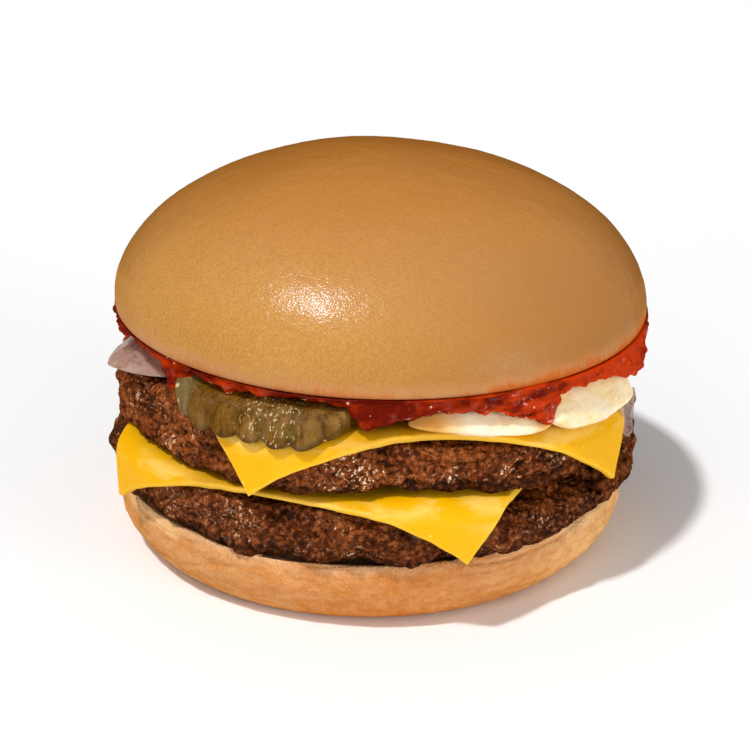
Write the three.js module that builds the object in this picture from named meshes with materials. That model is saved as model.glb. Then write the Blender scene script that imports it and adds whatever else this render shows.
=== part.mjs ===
// Double cheeseburger: bun heel, patty, cheese slice, patty, cheese slice, toppings, ketchup and bun crown.
// Millimetres, +Z up, the heel's flat underside on z = 0 and centred on the origin, front towards -Y.
// An azimuth is in degrees from the front (-Y), positive towards +X.

import * as THREE from 'three';

// ---- sizes ----

const REST_GAP = 0.3; // free space left between pieces that touch
const SHEET_GAP_SAG = 0.5; // more of it where the layers sag at the right
const RING_RADII = [20, 35]; // the inner rings of a patty's flat faces

const HEEL = {
  baseRadius: 42.3,
  widestRadius: 49.2,
  widestHeight: 8,
  topRadius: 47.9,
  topRounding: 0.7,
  height: 13.1,
  lowerPower: 1.565,
  lowerRings: [0, 0.7, 2.2, 4.6],
  upperRings: [10.8, 12.5],
  sectors: 52,
};

const LOWER_PATTY = {
  radius: 49.8,
  shiftX: 0.9,
  bottom: HEEL.height + REST_GAP,
  top: 23.6,
  sectors: 54,
  seed: 3,
};

const CHEESE = {
  thickness: 1.7,
  foldInset: 2.6,
  foldRadius: 3.5,
  foldAngle: 76,
  cells: 16,
};

const LOWER_CHEESE = { halfWidth: 37, front: 46, back: 35.5, turn: -21.8, sideways: 1.2, bulge: 1.4 };
const UPPER_CHEESE = { halfWidth: 37.6, front: 46.6, back: 36, turn: 15.2, sideways: 0.8, bulge: 0.5 };

const UPPER_PATTY = {
  radius: 48.8,
  shiftX: 0.9,
  bottom: LOWER_PATTY.top + CHEESE.thickness + 2 * REST_GAP,
  top: 36.0,
  sectors: 54,
  seed: 11,
};

const PATTY_EDGE = {
  flatInset: 4.2,
  lowerInset: 0.9,
  lowerRise: 0.25,
  wallRise: 1.4,
  shoulderInset: 0.7,
  shoulderDrop: 1.7,
  upperInset: 2.6,
  upperDrop: 0.15,
  lump: 0.55,
  belly: 0.5,
};

const SAG = {
  innerRadius: 20,
  outerRadius: 48,
  power: 1.5,
  lowerDrop: 4.5,
  upperDrop: 6.0,
  overhangDrop: 1.5,
  overhangAzimuth: 72,
  overhangWidth: 20,
  leftRise: 0.8,
  leftAzimuth: -62,
  leftWidth: 32,
};

const PICKLE = {
  azimuth: -23.6,
  centreRadius: 39.8,
  halfWidth: 17.5,
  halfReach: 13.2,
  turn: -2,
  bluntness: 3.2,
  endWidth: 0.12,
  thickness: 2.4,
  waveHeight: 0.42,
  wavePitch: 5.2,
  scallop: 0.7,
  widthCells: 26,
  reachCells: 8,
};

// Each sliver of onion runs from one azimuth to another. Its oval section leans from a foot to a
// head, given as radii and as rises above the layer below, or as heights for the right-hand one.
const ONION_LEFT = {
  from: -88,
  to: -51,
  steps: 12,
  section: 10,
  thickness: 2.6,
  bluntness: 2.2,
  footRadius: 47.2,
  footRise: 2.0,
  headRadius: 38,
  headRise: 4.4,
  pointOut: 4.0,
  pointAzimuth: -67,
  pointWidth: 11,
};
const ONION_FRONT = {
  from: 9,
  to: 38.5,
  steps: 14,
  section: 12,
  thickness: 2.6,
  bluntness: 3.2,
  footRadius: 50.1,
  footRise: -0.6,
  headRadius: 46.6,
  headRise: 2.9,
  flareFrom: 18,
  flare: 0.1,
};
const ONION_RIGHT = {
  from: 40.5,
  to: 76,
  steps: 16,
  section: 12,
  thickness: 2.8,
  bluntness: 3.4,
  footRadius: 52.3,
  footHeight: 31.3,
  footSlopeFrom: 55,
  footSlope: 0.05,
  headRadius: 47.2,
  headHeight: 38.2,
  headSlopeFrom: 50,
  headSlope: -0.12,
};

const ONION_SKIN = {
  azimuth: 68.5,
  halfAngle: 4.5,
  top: 31.2,
  length: 8.4,
  radius: 51.0,
  bow: 0.5,
  thickness: 0.5,
  columns: 8,
  rows: 10,
};

const KETCHUP = {
  radius: 48.4,
  rimThickness: 1.7,
  sagDrop: 3.7,
  rimInset: 1.6,
  lipInset: 0.3,
  lipRise: 0.5,
  edgeRise: 1.2,
  topInset: 1.7,
  leastThickness: 0.9,
  ringRadii: [20, 28, 36, 42.5],
  sectors: 64,
  lump: 0.5,
  seed: 7,
};

// How much the layer's floor is raised to pass over the pickle, by distance from its centre, and over
// the onions, by radius and azimuth. Each rise and fall is a pair of limits.
const OVER_PICKLE = { lift: 3.9, fall: [20.5, 27] };
const OVER_ONIONS = { lift: 4.9, radius: [34, 41], rise: [-2, 5], fall: [84, 92] };
const OVER_LEFT_ONION = { lift: 3.1, radius: [30, 36], rise: [-100, -92], fall: [-48, -42] };
const KETCHUP_HANG = { rise: [2, 55], fall: [76, 98] };

const KETCHUP_DRIPS = [
  { azimuth: -50.5, width: 5, drop: 3.0 },
  { azimuth: 6, width: 5.5, drop: 3.2 },
  { azimuth: 87, width: 8, drop: 2.6 },
  { azimuth: 138, width: 11, drop: 2.2 },
  { azimuth: -152, width: 12, drop: 2.0 },
  { azimuth: -108, width: 9, drop: 1.2 },
];

const CROWN = {
  radius: 50,
  underside: 44.6,
  lowerRings: [[24, 0], [46.4, 0], [48.9, 0.15], [49.8, 0.6]], // radius, rise above the underside
  widestHeight: 45.85,
  domeHeight: 27.3,
  domePower: 1.95,
  domeAngles: [0, 9, 19, 30, 42, 54, 66, 78],
  shiftX: 1.96,
  tilt: -0.022,
  sectors: 54,
};

const LOOKS = {
  heel: [0xd9a05f, 0.8],
  patty_lower: [0x5c3322, 0.6],
  cheese_lower: [0xf2b01c, 0.35],
  patty_upper: [0x643826, 0.6],
  cheese_upper: [0xf5b820, 0.35],
  pickle: [0x8d8a3a, 0.3],
  onion_left: [0xd9cfc4, 0.35],
  onion_front: [0xf0e6d2, 0.35],
  onion_right: [0xf0e3c0, 0.35],
  onion_skin: [0xb9a79a, 0.3],
  ketchup: [0x8e1a10, 0.2],
  crown: [0xc98f4e, 0.55],
};

// ---- small helpers ----

const DEGREE = Math.PI / 180;

function smooth(low, high, value) {
  const t = Math.min(1, Math.max(0, (value - low) / (high - low)));
  return t * t * (3 - 2 * t);
}

function wrapDegrees(angle) {
  return ((((angle + 180) % 360) + 360) % 360) - 180;
}

// 1 between two azimuths, with a smooth rise before and fall after them.
function zone(azimuth, rise, fall) {
  return smooth(...rise, azimuth) * (1 - smooth(...fall, azimuth));
}

function bell(azimuth, centre, width) {
  const d = wrapDegrees(azimuth - centre) / width;
  return Math.exp(-d * d);
}

// Slow lumps round a rim: a few sine waves whose phases come from the seed.
function lumps(azimuth, seed, size) {
  let sum = 0;
  for (const [k, waves] of [3, 5, 8, 13].entries()) {
    const phase = seed * (k + 1.7) * 2.399;
    sum += Math.sin(waves * azimuth * DEGREE + phase) / (1 + 0.45 * k);
  }
  return size * 0.45 * sum;
}

function azimuthOf(x, y) {
  return Math.atan2(x, -y) / DEGREE;
}

function polar(radius, azimuth, z) {
  return [radius * Math.sin(azimuth * DEGREE), -radius * Math.cos(azimuth * DEGREE), z];
}

// Closed faces are wound to face out, whichever way their loops ran.
function solid(name, points, faces) {
  const [color, roughness] = LOOKS[name];
  let volume = 0;
  for (const [a, b, c] of faces) {
    const [p, q, r] = [points[a], points[b], points[c]];
    volume += p[0] * (q[1] * r[2] - q[2] * r[1]);
    volume += p[1] * (q[2] * r[0] - q[0] * r[2]);
    volume += p[2] * (q[0] * r[1] - q[1] * r[0]);
  }
  const wound = volume < 0 ? faces.map(([a, b, c]) => [a, c, b]) : faces;
  const geometry = new THREE.BufferGeometry();
  geometry.setAttribute('position', new THREE.Float32BufferAttribute(points.flat(), 3));
  geometry.setIndex(wound.flat());
  geometry.computeVertexNormals();
  const material = new THREE.MeshStandardMaterial({ color, roughness, metalness: 0 });
  const mesh = new THREE.Mesh(geometry, material);
  mesh.name = name;
  return mesh;
}

// A body from loops of points between a first and a last single point.
function loopBody(name, first, loops, last) {
  const count = loops[0].length;
  const points = [first, ...loops.flat(), last];
  const faces = [];
  const at = (loop, k) => 1 + loop * count + (k % count);
  for (let k = 0; k < count; k += 1) {
    faces.push([0, at(0, k + 1), at(0, k)]);
    for (let loop = 0; loop + 1 < loops.length; loop += 1) {
      faces.push([at(loop, k), at(loop, k + 1), at(loop + 1, k + 1)]);
      faces.push([at(loop, k), at(loop + 1, k + 1), at(loop + 1, k)]);
    }
    faces.push([at(loops.length - 1, k), at(loops.length - 1, k + 1), points.length - 1]);
  }
  return solid(name, points, faces);
}

// A round layer: profile(azimuth) lists [radius, z] from near the bottom's centre out, up and back in.
function roundLayer(name, sectors, bottomZ, topZ, profile, place = (p) => p) {
  const loops = [];
  for (let k = 0; k < sectors; k += 1) {
    const azimuth = (360 * k) / sectors;
    profile(azimuth).forEach(([radius, z], ring) => {
      loops[ring] = loops[ring] || [];
      loops[ring].push(place(polar(radius, azimuth, z)));
    });
  }
  const [first, last] = [place([0, 0, bottomZ]), place([0, 0, topZ])];
  return loopBody(name, first, loops, last);
}

// A sheet from a grid: pair(i, j) gives the points of its lower and upper face.
function sheetBody(name, columns, rows, pair) {
  const points = [];
  const faces = [];
  for (let j = 0; j <= rows; j += 1) {
    for (let i = 0; i <= columns; i += 1) {
      points.push(...pair(i, j));
    }
  }
  const at = (i, j, side) => 2 * (j * (columns + 1) + i) + side;
  for (let j = 0; j < rows; j += 1) {
    for (let i = 0; i < columns; i += 1) {
      faces.push([at(i, j, 1), at(i + 1, j, 1), at(i + 1, j + 1, 1)]);
      faces.push([at(i, j, 1), at(i + 1, j + 1, 1), at(i, j + 1, 1)]);
      faces.push([at(i, j, 0), at(i + 1, j + 1, 0), at(i + 1, j, 0)]);
      faces.push([at(i, j, 0), at(i, j + 1, 0), at(i + 1, j + 1, 0)]);
    }
  }
  const rim = [];
  for (let i = 0; i < columns; i += 1) rim.push([i, 0]);
  for (let j = 0; j < rows; j += 1) rim.push([columns, j]);
  for (let i = columns; i > 0; i -= 1) rim.push([i, rows]);
  for (let j = rows; j > 0; j -= 1) rim.push([0, j]);
  rim.forEach(([i, j], k) => {
    const [m, n] = rim[(k + 1) % rim.length];
    faces.push([at(i, j, 0), at(m, n, 0), at(m, n, 1)]);
    faces.push([at(i, j, 0), at(m, n, 1), at(i, j, 1)]);
  });
  return solid(name, points, faces);
}

// ---- how the stack lies ----

// The right-hand side sags: 0 where the layers lie level, 1 at the lowest point of the rim.
function upperSag(azimuth) {
  return zone(wrapDegrees(azimuth), [2, 62], [92, 170]);
}

function lowerSag(azimuth) {
  const a = wrapDegrees(azimuth);
  const shallower = 1 - 0.45 * smooth(60, 88, a); // the lower layers bend less at the far right
  return shallower * zone(a, [5, 50], [95, 165]);
}

function sagAt(radius) {
  const t = (radius - SAG.innerRadius) / (SAG.outerRadius - SAG.innerRadius);
  return Math.max(0, t) ** SAG.power;
}

// The free space under a slice: wider where the sag bends the layers most.
function sheetGap(radius, azimuth) {
  return REST_GAP + SHEET_GAP_SAG * zone(wrapDegrees(azimuth), [-8, 10], [160, 178]) * sagAt(radius);
}

function lowerPattyTop(radius, azimuth) {
  return LOWER_PATTY.top - SAG.lowerDrop * sagAt(radius) * lowerSag(azimuth);
}

function upperPattyBottom(radius, azimuth) {
  const beyondSlice = smooth(43.5, SAG.outerRadius, radius);
  const overhang = beyondSlice * bell(azimuth, SAG.overhangAzimuth, SAG.overhangWidth);
  const slice = CHEESE.thickness + 2 * sheetGap(radius, azimuth);
  return lowerPattyTop(radius, azimuth) + slice - SAG.overhangDrop * overhang;
}

function upperPattyTop(radius, azimuth) {
  const rise = SAG.leftRise * sagAt(radius) * bell(azimuth, SAG.leftAzimuth, SAG.leftWidth);
  return UPPER_PATTY.top - SAG.upperDrop * sagAt(radius) * upperSag(azimuth) + rise;
}

function pattyRadius(patty, azimuth) {
  const offset = patty.shiftX * Math.sin(azimuth * DEGREE);
  return patty.radius + offset + lumps(azimuth, patty.seed, PATTY_EDGE.lump);
}

// ---- bun ----

function heelProfile() {
  const innerRadius = 30;
  const rings = [[innerRadius, 0]];
  for (const z of HEEL.lowerRings) {
    const t = (HEEL.widestHeight - z) / HEEL.widestHeight;
    const out = (1 - t ** HEEL.lowerPower) ** (1 / HEEL.lowerPower);
    rings.push([HEEL.baseRadius + (HEEL.widestRadius - HEEL.baseRadius) * out, z]);
  }
  rings.push([HEEL.widestRadius, HEEL.widestHeight]);
  for (const z of HEEL.upperRings) {
    const t = (z - HEEL.widestHeight) / (HEEL.height - HEEL.widestHeight);
    rings.push([HEEL.topRadius + (HEEL.widestRadius - HEEL.topRadius) * Math.sqrt(1 - t * t), z]);
  }
  rings.push([HEEL.topRadius - HEEL.topRounding, HEEL.height], [innerRadius, HEEL.height]);
  return rings;
}

function crownProfile() {
  const rings = CROWN.lowerRings.map(([radius, rise]) => [radius, CROWN.underside + rise]);
  for (const angle of CROWN.domeAngles) {
    const side = Math.cos(angle * DEGREE) ** (2 / CROWN.domePower);
    const rise = Math.sin(angle * DEGREE) ** (2 / CROWN.domePower);
    rings.push([CROWN.radius * side, CROWN.widestHeight + CROWN.domeHeight * rise]);
  }
  return rings;
}

function placeCrown([x, y, z]) {
  return [x + CROWN.shiftX, y, z + CROWN.tilt * (x + CROWN.shiftX)];
}

function crownUnderside(x) {
  return CROWN.underside + CROWN.tilt * x;
}

// ---- patties ----

function pattyProfile(patty, bottomAt, topAt) {
  const e = PATTY_EDGE;
  return (azimuth) => {
    const edge = pattyRadius(patty, azimuth);
    const low = bottomAt(edge - 2, azimuth);
    const high = topAt(edge - 2, azimuth);
    const belly = lumps(azimuth, patty.seed + 5, e.belly);
    const [flat, upper] = [edge - e.flatInset, edge - e.upperInset];
    return [
      ...RING_RADII.map((radius) => [radius, bottomAt(radius, azimuth)]),
      [flat, bottomAt(flat, azimuth)],
      [edge - e.lowerInset, low + e.lowerRise],
      [edge - 0.1, low + e.wallRise],
      [edge + belly, (low + high) / 2],
      [edge - e.shoulderInset, high - e.shoulderDrop],
      [upper, topAt(upper, azimuth) - e.upperDrop],
      ...[...RING_RADII].reverse().map((radius) => [radius, topAt(radius, azimuth)]),
    ];
  };
}

// ---- cheese ----

// A point's distance out and azimuth on the flat slice become a place on the drape: level out to the
// fold, round the patty's edge, then down and slightly outward. lift is the height above the patty,
// and lengths are kept at the height middle.
function drape(reach, azimuth, patty, topAt, lift, middle) {
  const foldStart = pattyRadius(patty, azimuth) - CHEESE.foldInset;
  const level = Math.min(reach, foldStart);
  const floor = topAt(level, azimuth) + sheetGap(level, azimuth);
  if (reach <= foldStart) {
    return polar(reach, azimuth, floor + lift);
  }
  const full = CHEESE.foldAngle * DEGREE;
  const beyond = reach - foldStart;
  const angle = Math.min(full, beyond / (CHEESE.foldRadius + middle));
  const straight = Math.max(0, beyond - full * (CHEESE.foldRadius + middle));
  const radius = CHEESE.foldRadius + lift;
  const out = radius * Math.sin(angle) + straight * Math.cos(full);
  const down = radius * Math.cos(angle) - CHEESE.foldRadius - straight * Math.sin(full);
  return polar(foldStart + out, azimuth, floor + down);
}

// The distance out and azimuth of a point u across and w ahead, where ahead is turned by an azimuth.
function turned(u, w, azimuth) {
  return [Math.hypot(u, w), azimuth + azimuthOf(u, -w)];
}

// Spacing that is closer towards both ends, from -1 to 1.
function endWeighted(step, steps) {
  const t = (2 * step) / steps - 1;
  return 0.45 * t + 0.55 * Math.sin((Math.PI / 2) * t);
}

// A square slice, its front edge bowed a little, with its corners hanging over the patty's edge.
function slice(name, plan, patty, topAt) {
  const middle = CHEESE.thickness / 2;
  return sheetBody(name, CHEESE.cells, CHEESE.cells, (i, j) => {
    const across = endWeighted(i, CHEESE.cells);
    const ahead = endWeighted(j, CHEESE.cells);
    const u = plan.halfWidth * across + plan.sideways;
    const straight = ((plan.front + plan.back) * ahead + plan.front - plan.back) / 2;
    const w = straight + plan.bulge * ahead * (1 - across * across);
    const [reach, azimuth] = turned(u, w, plan.turn);
    return [0, CHEESE.thickness].map((lift) => drape(reach, azimuth, patty, topAt, lift, middle));
  });
}

// ---- pickle ----

// A crinkle-cut oval lying on the upper slice and bent over its edge. Its ridges run outward.
function pickle() {
  const skew = PICKLE.turn * DEGREE;
  return sheetBody('pickle', PICKLE.widthCells, PICKLE.reachCells, (i, j) => {
    const side = (2 * i) / PICKLE.widthCells - 1;
    const ahead = (2 * j) / PICKLE.reachCells - 1;
    const along = PICKLE.halfWidth * side * (1 - 0.03 * ahead * ahead);
    const chord = Math.max(PICKLE.endWidth, Math.sqrt(1 - Math.abs(side) ** PICKLE.bluntness));
    const ridge = (Math.PI * along) / PICKLE.wavePitch;
    const scallop = PICKLE.scallop * ahead * (Math.abs(Math.cos(ridge)) - 0.6);
    const out = PICKLE.halfReach * ahead * chord + scallop;
    const u = along * Math.cos(skew) + out * Math.sin(skew);
    const w = PICKLE.centreRadius - along * Math.sin(skew) + out * Math.cos(skew);
    const [reach, azimuth] = turned(u, w, PICKLE.azimuth);
    const wave = PICKLE.waveHeight * (1 + Math.cos(2 * ridge));
    const base = CHEESE.thickness + 2 * REST_GAP + wave;
    const middle = base + PICKLE.thickness / 2;
    return [0, PICKLE.thickness].map((lift) => (
      drape(reach, azimuth, UPPER_PATTY, upperPattyTop, base + lift, middle)
    ));
  });
}

// ---- onion ----

// A sliver along the rim: at each azimuth an oval section runs from a foot to a head point.
function sliver(name, plan, foot, head) {
  const middle = (azimuth) => {
    const [f, h] = [foot(azimuth), head(azimuth)];
    return [(f[0] + h[0]) / 2, (f[1] + h[1]) / 2];
  };
  const end = (azimuth) => polar(middle(azimuth)[0], azimuth, middle(azimuth)[1]);
  const loops = [];
  for (let k = 1; k < plan.steps; k += 1) {
    const t = k / plan.steps;
    const azimuth = plan.from + (plan.to - plan.from) * t;
    const taper = Math.sqrt(1 - Math.abs(2 * t - 1) ** plan.bluntness);
    const [f, h] = [foot(azimuth), head(azimuth)];
    const [r, z] = middle(azimuth);
    const [dr, dz] = [(h[0] - f[0]) / 2, (h[1] - f[1]) / 2];
    const halfLength = Math.hypot(dr, dz);
    const loop = [];
    for (let m = 0; m < plan.section; m += 1) {
      const angle = (2 * Math.PI * m) / plan.section;
      const along = taper * Math.cos(angle);
      const aside = (plan.thickness * taper * Math.sin(angle)) / (2 * halfLength);
      loop.push(polar(r + along * dr + aside * dz, azimuth, z + along * dz - aside * dr));
    }
    loops.push(loop);
  }
  return loopBody(name, end(plan.from), loops, end(plan.to));
}

const NEAR_EDGE = 46; // the radius where the toppings' heights above their layer are taken

function cheeseTop(azimuth) {
  return upperPattyTop(NEAR_EDGE, azimuth) + sheetGap(NEAR_EDGE, azimuth) + CHEESE.thickness;
}

// A wedge that lies on the patty and points out at the left.
function onionLeft() {
  const patty = (a) => upperPattyTop(NEAR_EDGE, a);
  const { footRadius, footRise, headRadius, headRise, pointOut, pointAzimuth, pointWidth } = ONION_LEFT;
  const point = (a) => pointOut * bell(a, pointAzimuth, pointWidth);
  const foot = (a) => [footRadius + point(a), patty(a) + footRise];
  const head = (a) => [headRadius, patty(a) + headRise];
  return sliver('onion_left', ONION_LEFT, foot, head);
}

// A long sliver that leans on the upper slice's front edge.
function onionFront() {
  const { footRadius, footRise, headRadius, headRise, flareFrom, flare } = ONION_FRONT;
  const foot = (a) => [footRadius + flare * Math.max(0, a - flareFrom), cheeseTop(a) + footRise];
  const head = (a) => [headRadius, cheeseTop(a) + headRise];
  return sliver('onion_front', ONION_FRONT, foot, head);
}

// The largest piece, propped on the fold of the slice's right-hand corner.
function onionRight() {
  const o = ONION_RIGHT;
  const foot = (a) => [o.footRadius, o.footHeight + o.footSlope * Math.max(0, a - o.footSlopeFrom)];
  const head = (a) => [o.headRadius, o.headHeight + o.headSlope * Math.max(0, a - o.headSlopeFrom)];
  return sliver('onion_right', o, foot, head);
}

// A loose scrap of onion skin that hangs against the upper patty's side.
function onionSkin() {
  const { columns, rows } = ONION_SKIN;
  return sheetBody('onion_skin', columns, rows, (i, j) => {
    const down = j / rows;
    const outline = Math.sqrt(Math.max(0.02, 1 - (2 * down - 0.75) ** 2 / 1.6));
    const azimuth = ONION_SKIN.azimuth + ONION_SKIN.halfAngle * outline * ((2 * i) / columns - 1);
    const z = ONION_SKIN.top - ONION_SKIN.length * down;
    const inner = ONION_SKIN.radius + ONION_SKIN.bow * Math.sin(Math.PI * down);
    return [polar(inner, azimuth, z), polar(inner + ONION_SKIN.thickness, azimuth, z)];
  });
}

// ---- ketchup ----

// The layer's underside clears the cheese, and is lifted over the pickle and the slivers of onion.
function ketchupFloor(radius, azimuth) {
  const a = wrapDegrees(azimuth);
  const [x, y] = polar(radius, azimuth, 0);
  const [px, py] = polar(PICKLE.centreRadius, PICKLE.azimuth, 0);
  const overPickle = 1 - smooth(...OVER_PICKLE.fall, Math.hypot(x - px, y - py));
  const overOnion = (plan) => plan.lift * smooth(...plan.radius, radius) * zone(a, plan.rise, plan.fall);
  const lift = Math.max(
    OVER_PICKLE.lift * overPickle,
    overOnion(OVER_ONIONS),
    overOnion(OVER_LEFT_ONION),
  );
  const cheese = upperPattyTop(radius, azimuth) + sheetGap(radius, azimuth) + CHEESE.thickness;
  const ceiling = crownUnderside(x) - REST_GAP - KETCHUP.leastThickness;
  return Math.min(cheese + REST_GAP + lift, ceiling);
}

function ketchupProfile(azimuth) {
  const a = wrapDegrees(azimuth);
  const hang = KETCHUP.sagDrop * zone(a, KETCHUP_HANG.rise, KETCHUP_HANG.fall);
  const drop = KETCHUP_DRIPS.reduce((sum, d) => sum + d.drop * bell(a, d.azimuth, d.width), hang);
  const edge = KETCHUP.radius + lumps(azimuth, KETCHUP.seed, KETCHUP.lump) + 0.25 * drop;
  const top = (radius) => crownUnderside(radius * Math.sin(azimuth * DEGREE)) - REST_GAP;
  const rim = top(edge) - KETCHUP.rimThickness - drop;
  const innerRadius = KETCHUP.ringRadii[1];
  return [
    ...KETCHUP.ringRadii.map((radius) => [radius, ketchupFloor(radius, azimuth)]),
    [edge - KETCHUP.rimInset, rim],
    [edge - KETCHUP.lipInset, rim + KETCHUP.lipRise],
    [edge, rim + KETCHUP.edgeRise],
    [edge - KETCHUP.topInset, top(edge)],
    [innerRadius, top(innerRadius)],
  ];
}

// ---- the burger ----

const burger = new THREE.Group();
burger.name = 'double_cheeseburger';

burger.add(roundLayer('heel', HEEL.sectors, 0, HEEL.height, heelProfile));
burger.add(roundLayer(
  'patty_lower',
  LOWER_PATTY.sectors,
  LOWER_PATTY.bottom,
  LOWER_PATTY.top,
  pattyProfile(LOWER_PATTY, () => LOWER_PATTY.bottom, lowerPattyTop),
));
burger.add(slice('cheese_lower', LOWER_CHEESE, LOWER_PATTY, lowerPattyTop));
burger.add(roundLayer(
  'patty_upper',
  UPPER_PATTY.sectors,
  UPPER_PATTY.bottom,
  UPPER_PATTY.top,
  pattyProfile(UPPER_PATTY, upperPattyBottom, upperPattyTop),
));
burger.add(slice('cheese_upper', UPPER_CHEESE, UPPER_PATTY, upperPattyTop));
burger.add(pickle());
burger.add(onionLeft());
burger.add(onionFront());
burger.add(onionRight());
burger.add(onionSkin());
burger.add(roundLayer(
  'ketchup',
  KETCHUP.sectors,
  ketchupFloor(0, 0),
  crownUnderside(0) - REST_GAP,
  ketchupProfile,
));
burger.add(roundLayer(
  'crown',
  CROWN.sectors,
  CROWN.underside,
  CROWN.widestHeight + CROWN.domeHeight,
  crownProfile,
  placeCrown,
));

export default burger;
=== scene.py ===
"""Double cheeseburger: the eaten surfaces of every layer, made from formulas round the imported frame.

Working lengths inside the shape functions are millimetres; meshes and settings are metres.
+Z is up, the heel's underside lies on z = 0 and the front faces -Y. An azimuth is in degrees
from the front, positive towards +X, so a point is (r sin a, -r cos a, z).
"""

import math

import bpy
import numpy as np
from bpy.props import FloatProperty, FloatVectorProperty, PointerProperty
from bpy.types import Operator, Panel, PropertyGroup
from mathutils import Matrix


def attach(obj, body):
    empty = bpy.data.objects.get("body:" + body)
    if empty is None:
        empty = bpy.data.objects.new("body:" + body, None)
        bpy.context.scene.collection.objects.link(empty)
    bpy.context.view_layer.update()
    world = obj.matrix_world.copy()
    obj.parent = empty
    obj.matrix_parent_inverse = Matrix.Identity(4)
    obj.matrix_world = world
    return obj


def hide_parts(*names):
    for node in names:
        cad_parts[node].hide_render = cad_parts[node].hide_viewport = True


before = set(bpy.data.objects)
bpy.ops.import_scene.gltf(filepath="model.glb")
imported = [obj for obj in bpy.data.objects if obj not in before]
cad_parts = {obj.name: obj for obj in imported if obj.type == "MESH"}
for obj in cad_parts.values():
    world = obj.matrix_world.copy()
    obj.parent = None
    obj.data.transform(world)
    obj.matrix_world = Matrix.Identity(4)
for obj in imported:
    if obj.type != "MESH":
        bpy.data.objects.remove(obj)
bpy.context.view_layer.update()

bl_info = {
    "name": "Double cheeseburger",
    "version": (1, 0, 0),
    "blender": (4, 5, 0),
    "location": "3D View > Sidebar > Burger",
    "description": "Builds the layers of a double cheeseburger and a soft-lit stage for them",
    "category": "Add Mesh",
}

MM = 0.001
DEGREE = math.pi / 180


# ---- settings ----


def length(name, description, default_mm):
    """A length setting, with its default in millimetres."""
    return FloatProperty(
        name=name, description=description, default=default_mm * MM, subtype="DISTANCE", unit="LENGTH"
    )


def colour(name, description, default):
    """A colour setting."""
    return FloatVectorProperty(
        name=name, description=description, default=default, size=3, subtype="COLOR", min=0.0, max=1.0
    )


def srgb(red, green, blue):
    """The linear colour of three 0-255 display values."""
    c = np.array([red, green, blue]) / 255
    return tuple(float(v) for v in np.where(c <= 0.04045, c / 12.92, ((c + 0.055) / 1.055) ** 2.4))


def strength(name, description, default):
    """A light's strength setting."""
    return FloatProperty(name=name, description=description, default=default, min=0)


class BurgerStackSettings(PropertyGroup):
    """Heights of the layers and how far they sag"""

    gap: length("Rest gap", "Free space between pieces that touch", 0.3)
    slice: length("Slice thickness", "Thickness of a cheese slice", 1.7)
    lower_top: length("Lower patty top", "Height of the lower patty's top", 23.6)
    upper_top: length("Upper patty top", "Height of the upper patty's top", 36.0)
    crown_base: length("Crown underside", "Height of the crown's cut face", 44.6)
    lower_sag: length("Lower sag", "How far the lower layers sag at the right", 4.5)
    upper_sag: length("Upper sag", "How far the upper layers sag at the right", 6.0)


class BurgerBunSettings(PropertyGroup):
    """Sizes and colours of the crown and the heel"""

    crown_radius: length("Crown radius", "Radius of the crown at its widest", 50.0)
    crown_height: length("Crown height", "Height of the dome above its widest ring", 27.3)
    heel_radius: length("Heel radius", "Radius of the heel at its widest", 49.2)
    heel_height: length("Heel height", "Height of the heel", 13.1)
    crust: colour("Crust", "Browned crust of the crown", srgb(208, 150, 76))
    crust_dark: colour("Dark crust", "Most browned parts of the crust", srgb(184, 108, 36))
    # A darker crust painted on the crown's sides as shade, where less light falls.
    crust_side: colour("Side crust", "Browned crust at the right-hand side", srgb(166, 113, 60))
    crust_pale: colour("Pale crust", "Least browned band near the cut", srgb(197, 146, 101))
    heel_crust: colour("Heel crust", "Crust of the heel", srgb(217, 132, 44))
    heel_pale: colour("Floury heel", "Floury patches of the heel", srgb(224, 160, 106))
    # The powder is also laid on the heel's right side as painted light.
    powder: colour("Powder", "Palest floury parts of the heel", srgb(240, 190, 126))
    crumb: colour("Crumb", "Cut face of the bun", srgb(238, 193, 148))


class BurgerMeatSettings(PropertyGroup):
    """Relief and colours of the ground meat"""

    grain: length("Grain", "Size of the larger lumps of ground meat", 3.0)
    depth: length("Relief", "Height of the lumps", 0.66)
    browned: colour("Browned", "Main colour of the meat", srgb(88, 38, 11))
    # The seared colour is also painted into creases and at the patties' foot as shade.
    seared: colour("Seared", "Dark seared parts and crevices", srgb(48, 18, 6))
    pink: colour("Warm patches", "Reddish patches", srgb(120, 60, 22))
    # The fat colour is laid on raised wet spots, partly as painted glints.
    fat: colour("Fat", "Specks of melted fat", srgb(238, 170, 106))


class BurgerCheeseSettings(PropertyGroup):
    """Colours of the slices and their bend"""

    upper: colour("Upper slice", "Colour of the upper slice", srgb(236, 175, 0))
    lower: colour("Lower slice", "Colour of the lower slice", srgb(234, 173, 0))
    fold_radius: length("Fold radius", "Inner radius of the bend over a patty's edge", 3.5)


class BurgerToppingSettings(PropertyGroup):
    """Size and colours of the pickle, colour of the onions"""

    pickle_width: length("Pickle width", "Half the width of the pickle chip", 17.5)
    pickle_pitch: length("Ridge pitch", "Distance between two crinkle ridges", 5.2)
    flesh: colour("Pickle flesh", "Colour of the pickle's flesh", srgb(124, 79, 0))
    clear: colour("Clear flesh", "Colour of the pickle's greyer, clearer half", srgb(152, 112, 52))
    rind: colour("Pickle rind", "Colour of the pickle's skin", srgb(106, 86, 46))
    onion: colour("Onion", "Colour of the onion", srgb(248, 224, 170))


class BurgerSauceSettings(PropertyGroup):
    """Size and colours of the ketchup"""

    radius: length("Layer radius", "Radius of the ketchup layer", 49.6)
    ketchup: colour("Ketchup", "Colour of thick ketchup", srgb(98, 14, 0))
    thin: colour("Thin ketchup", "Colour where the ketchup is thin", srgb(186, 52, 2))
    # The gleam colour is painted on the sauce's beads as glints.
    gleam: colour("Gleam", "Colour of the brightest beads", srgb(255, 196, 160))


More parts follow.
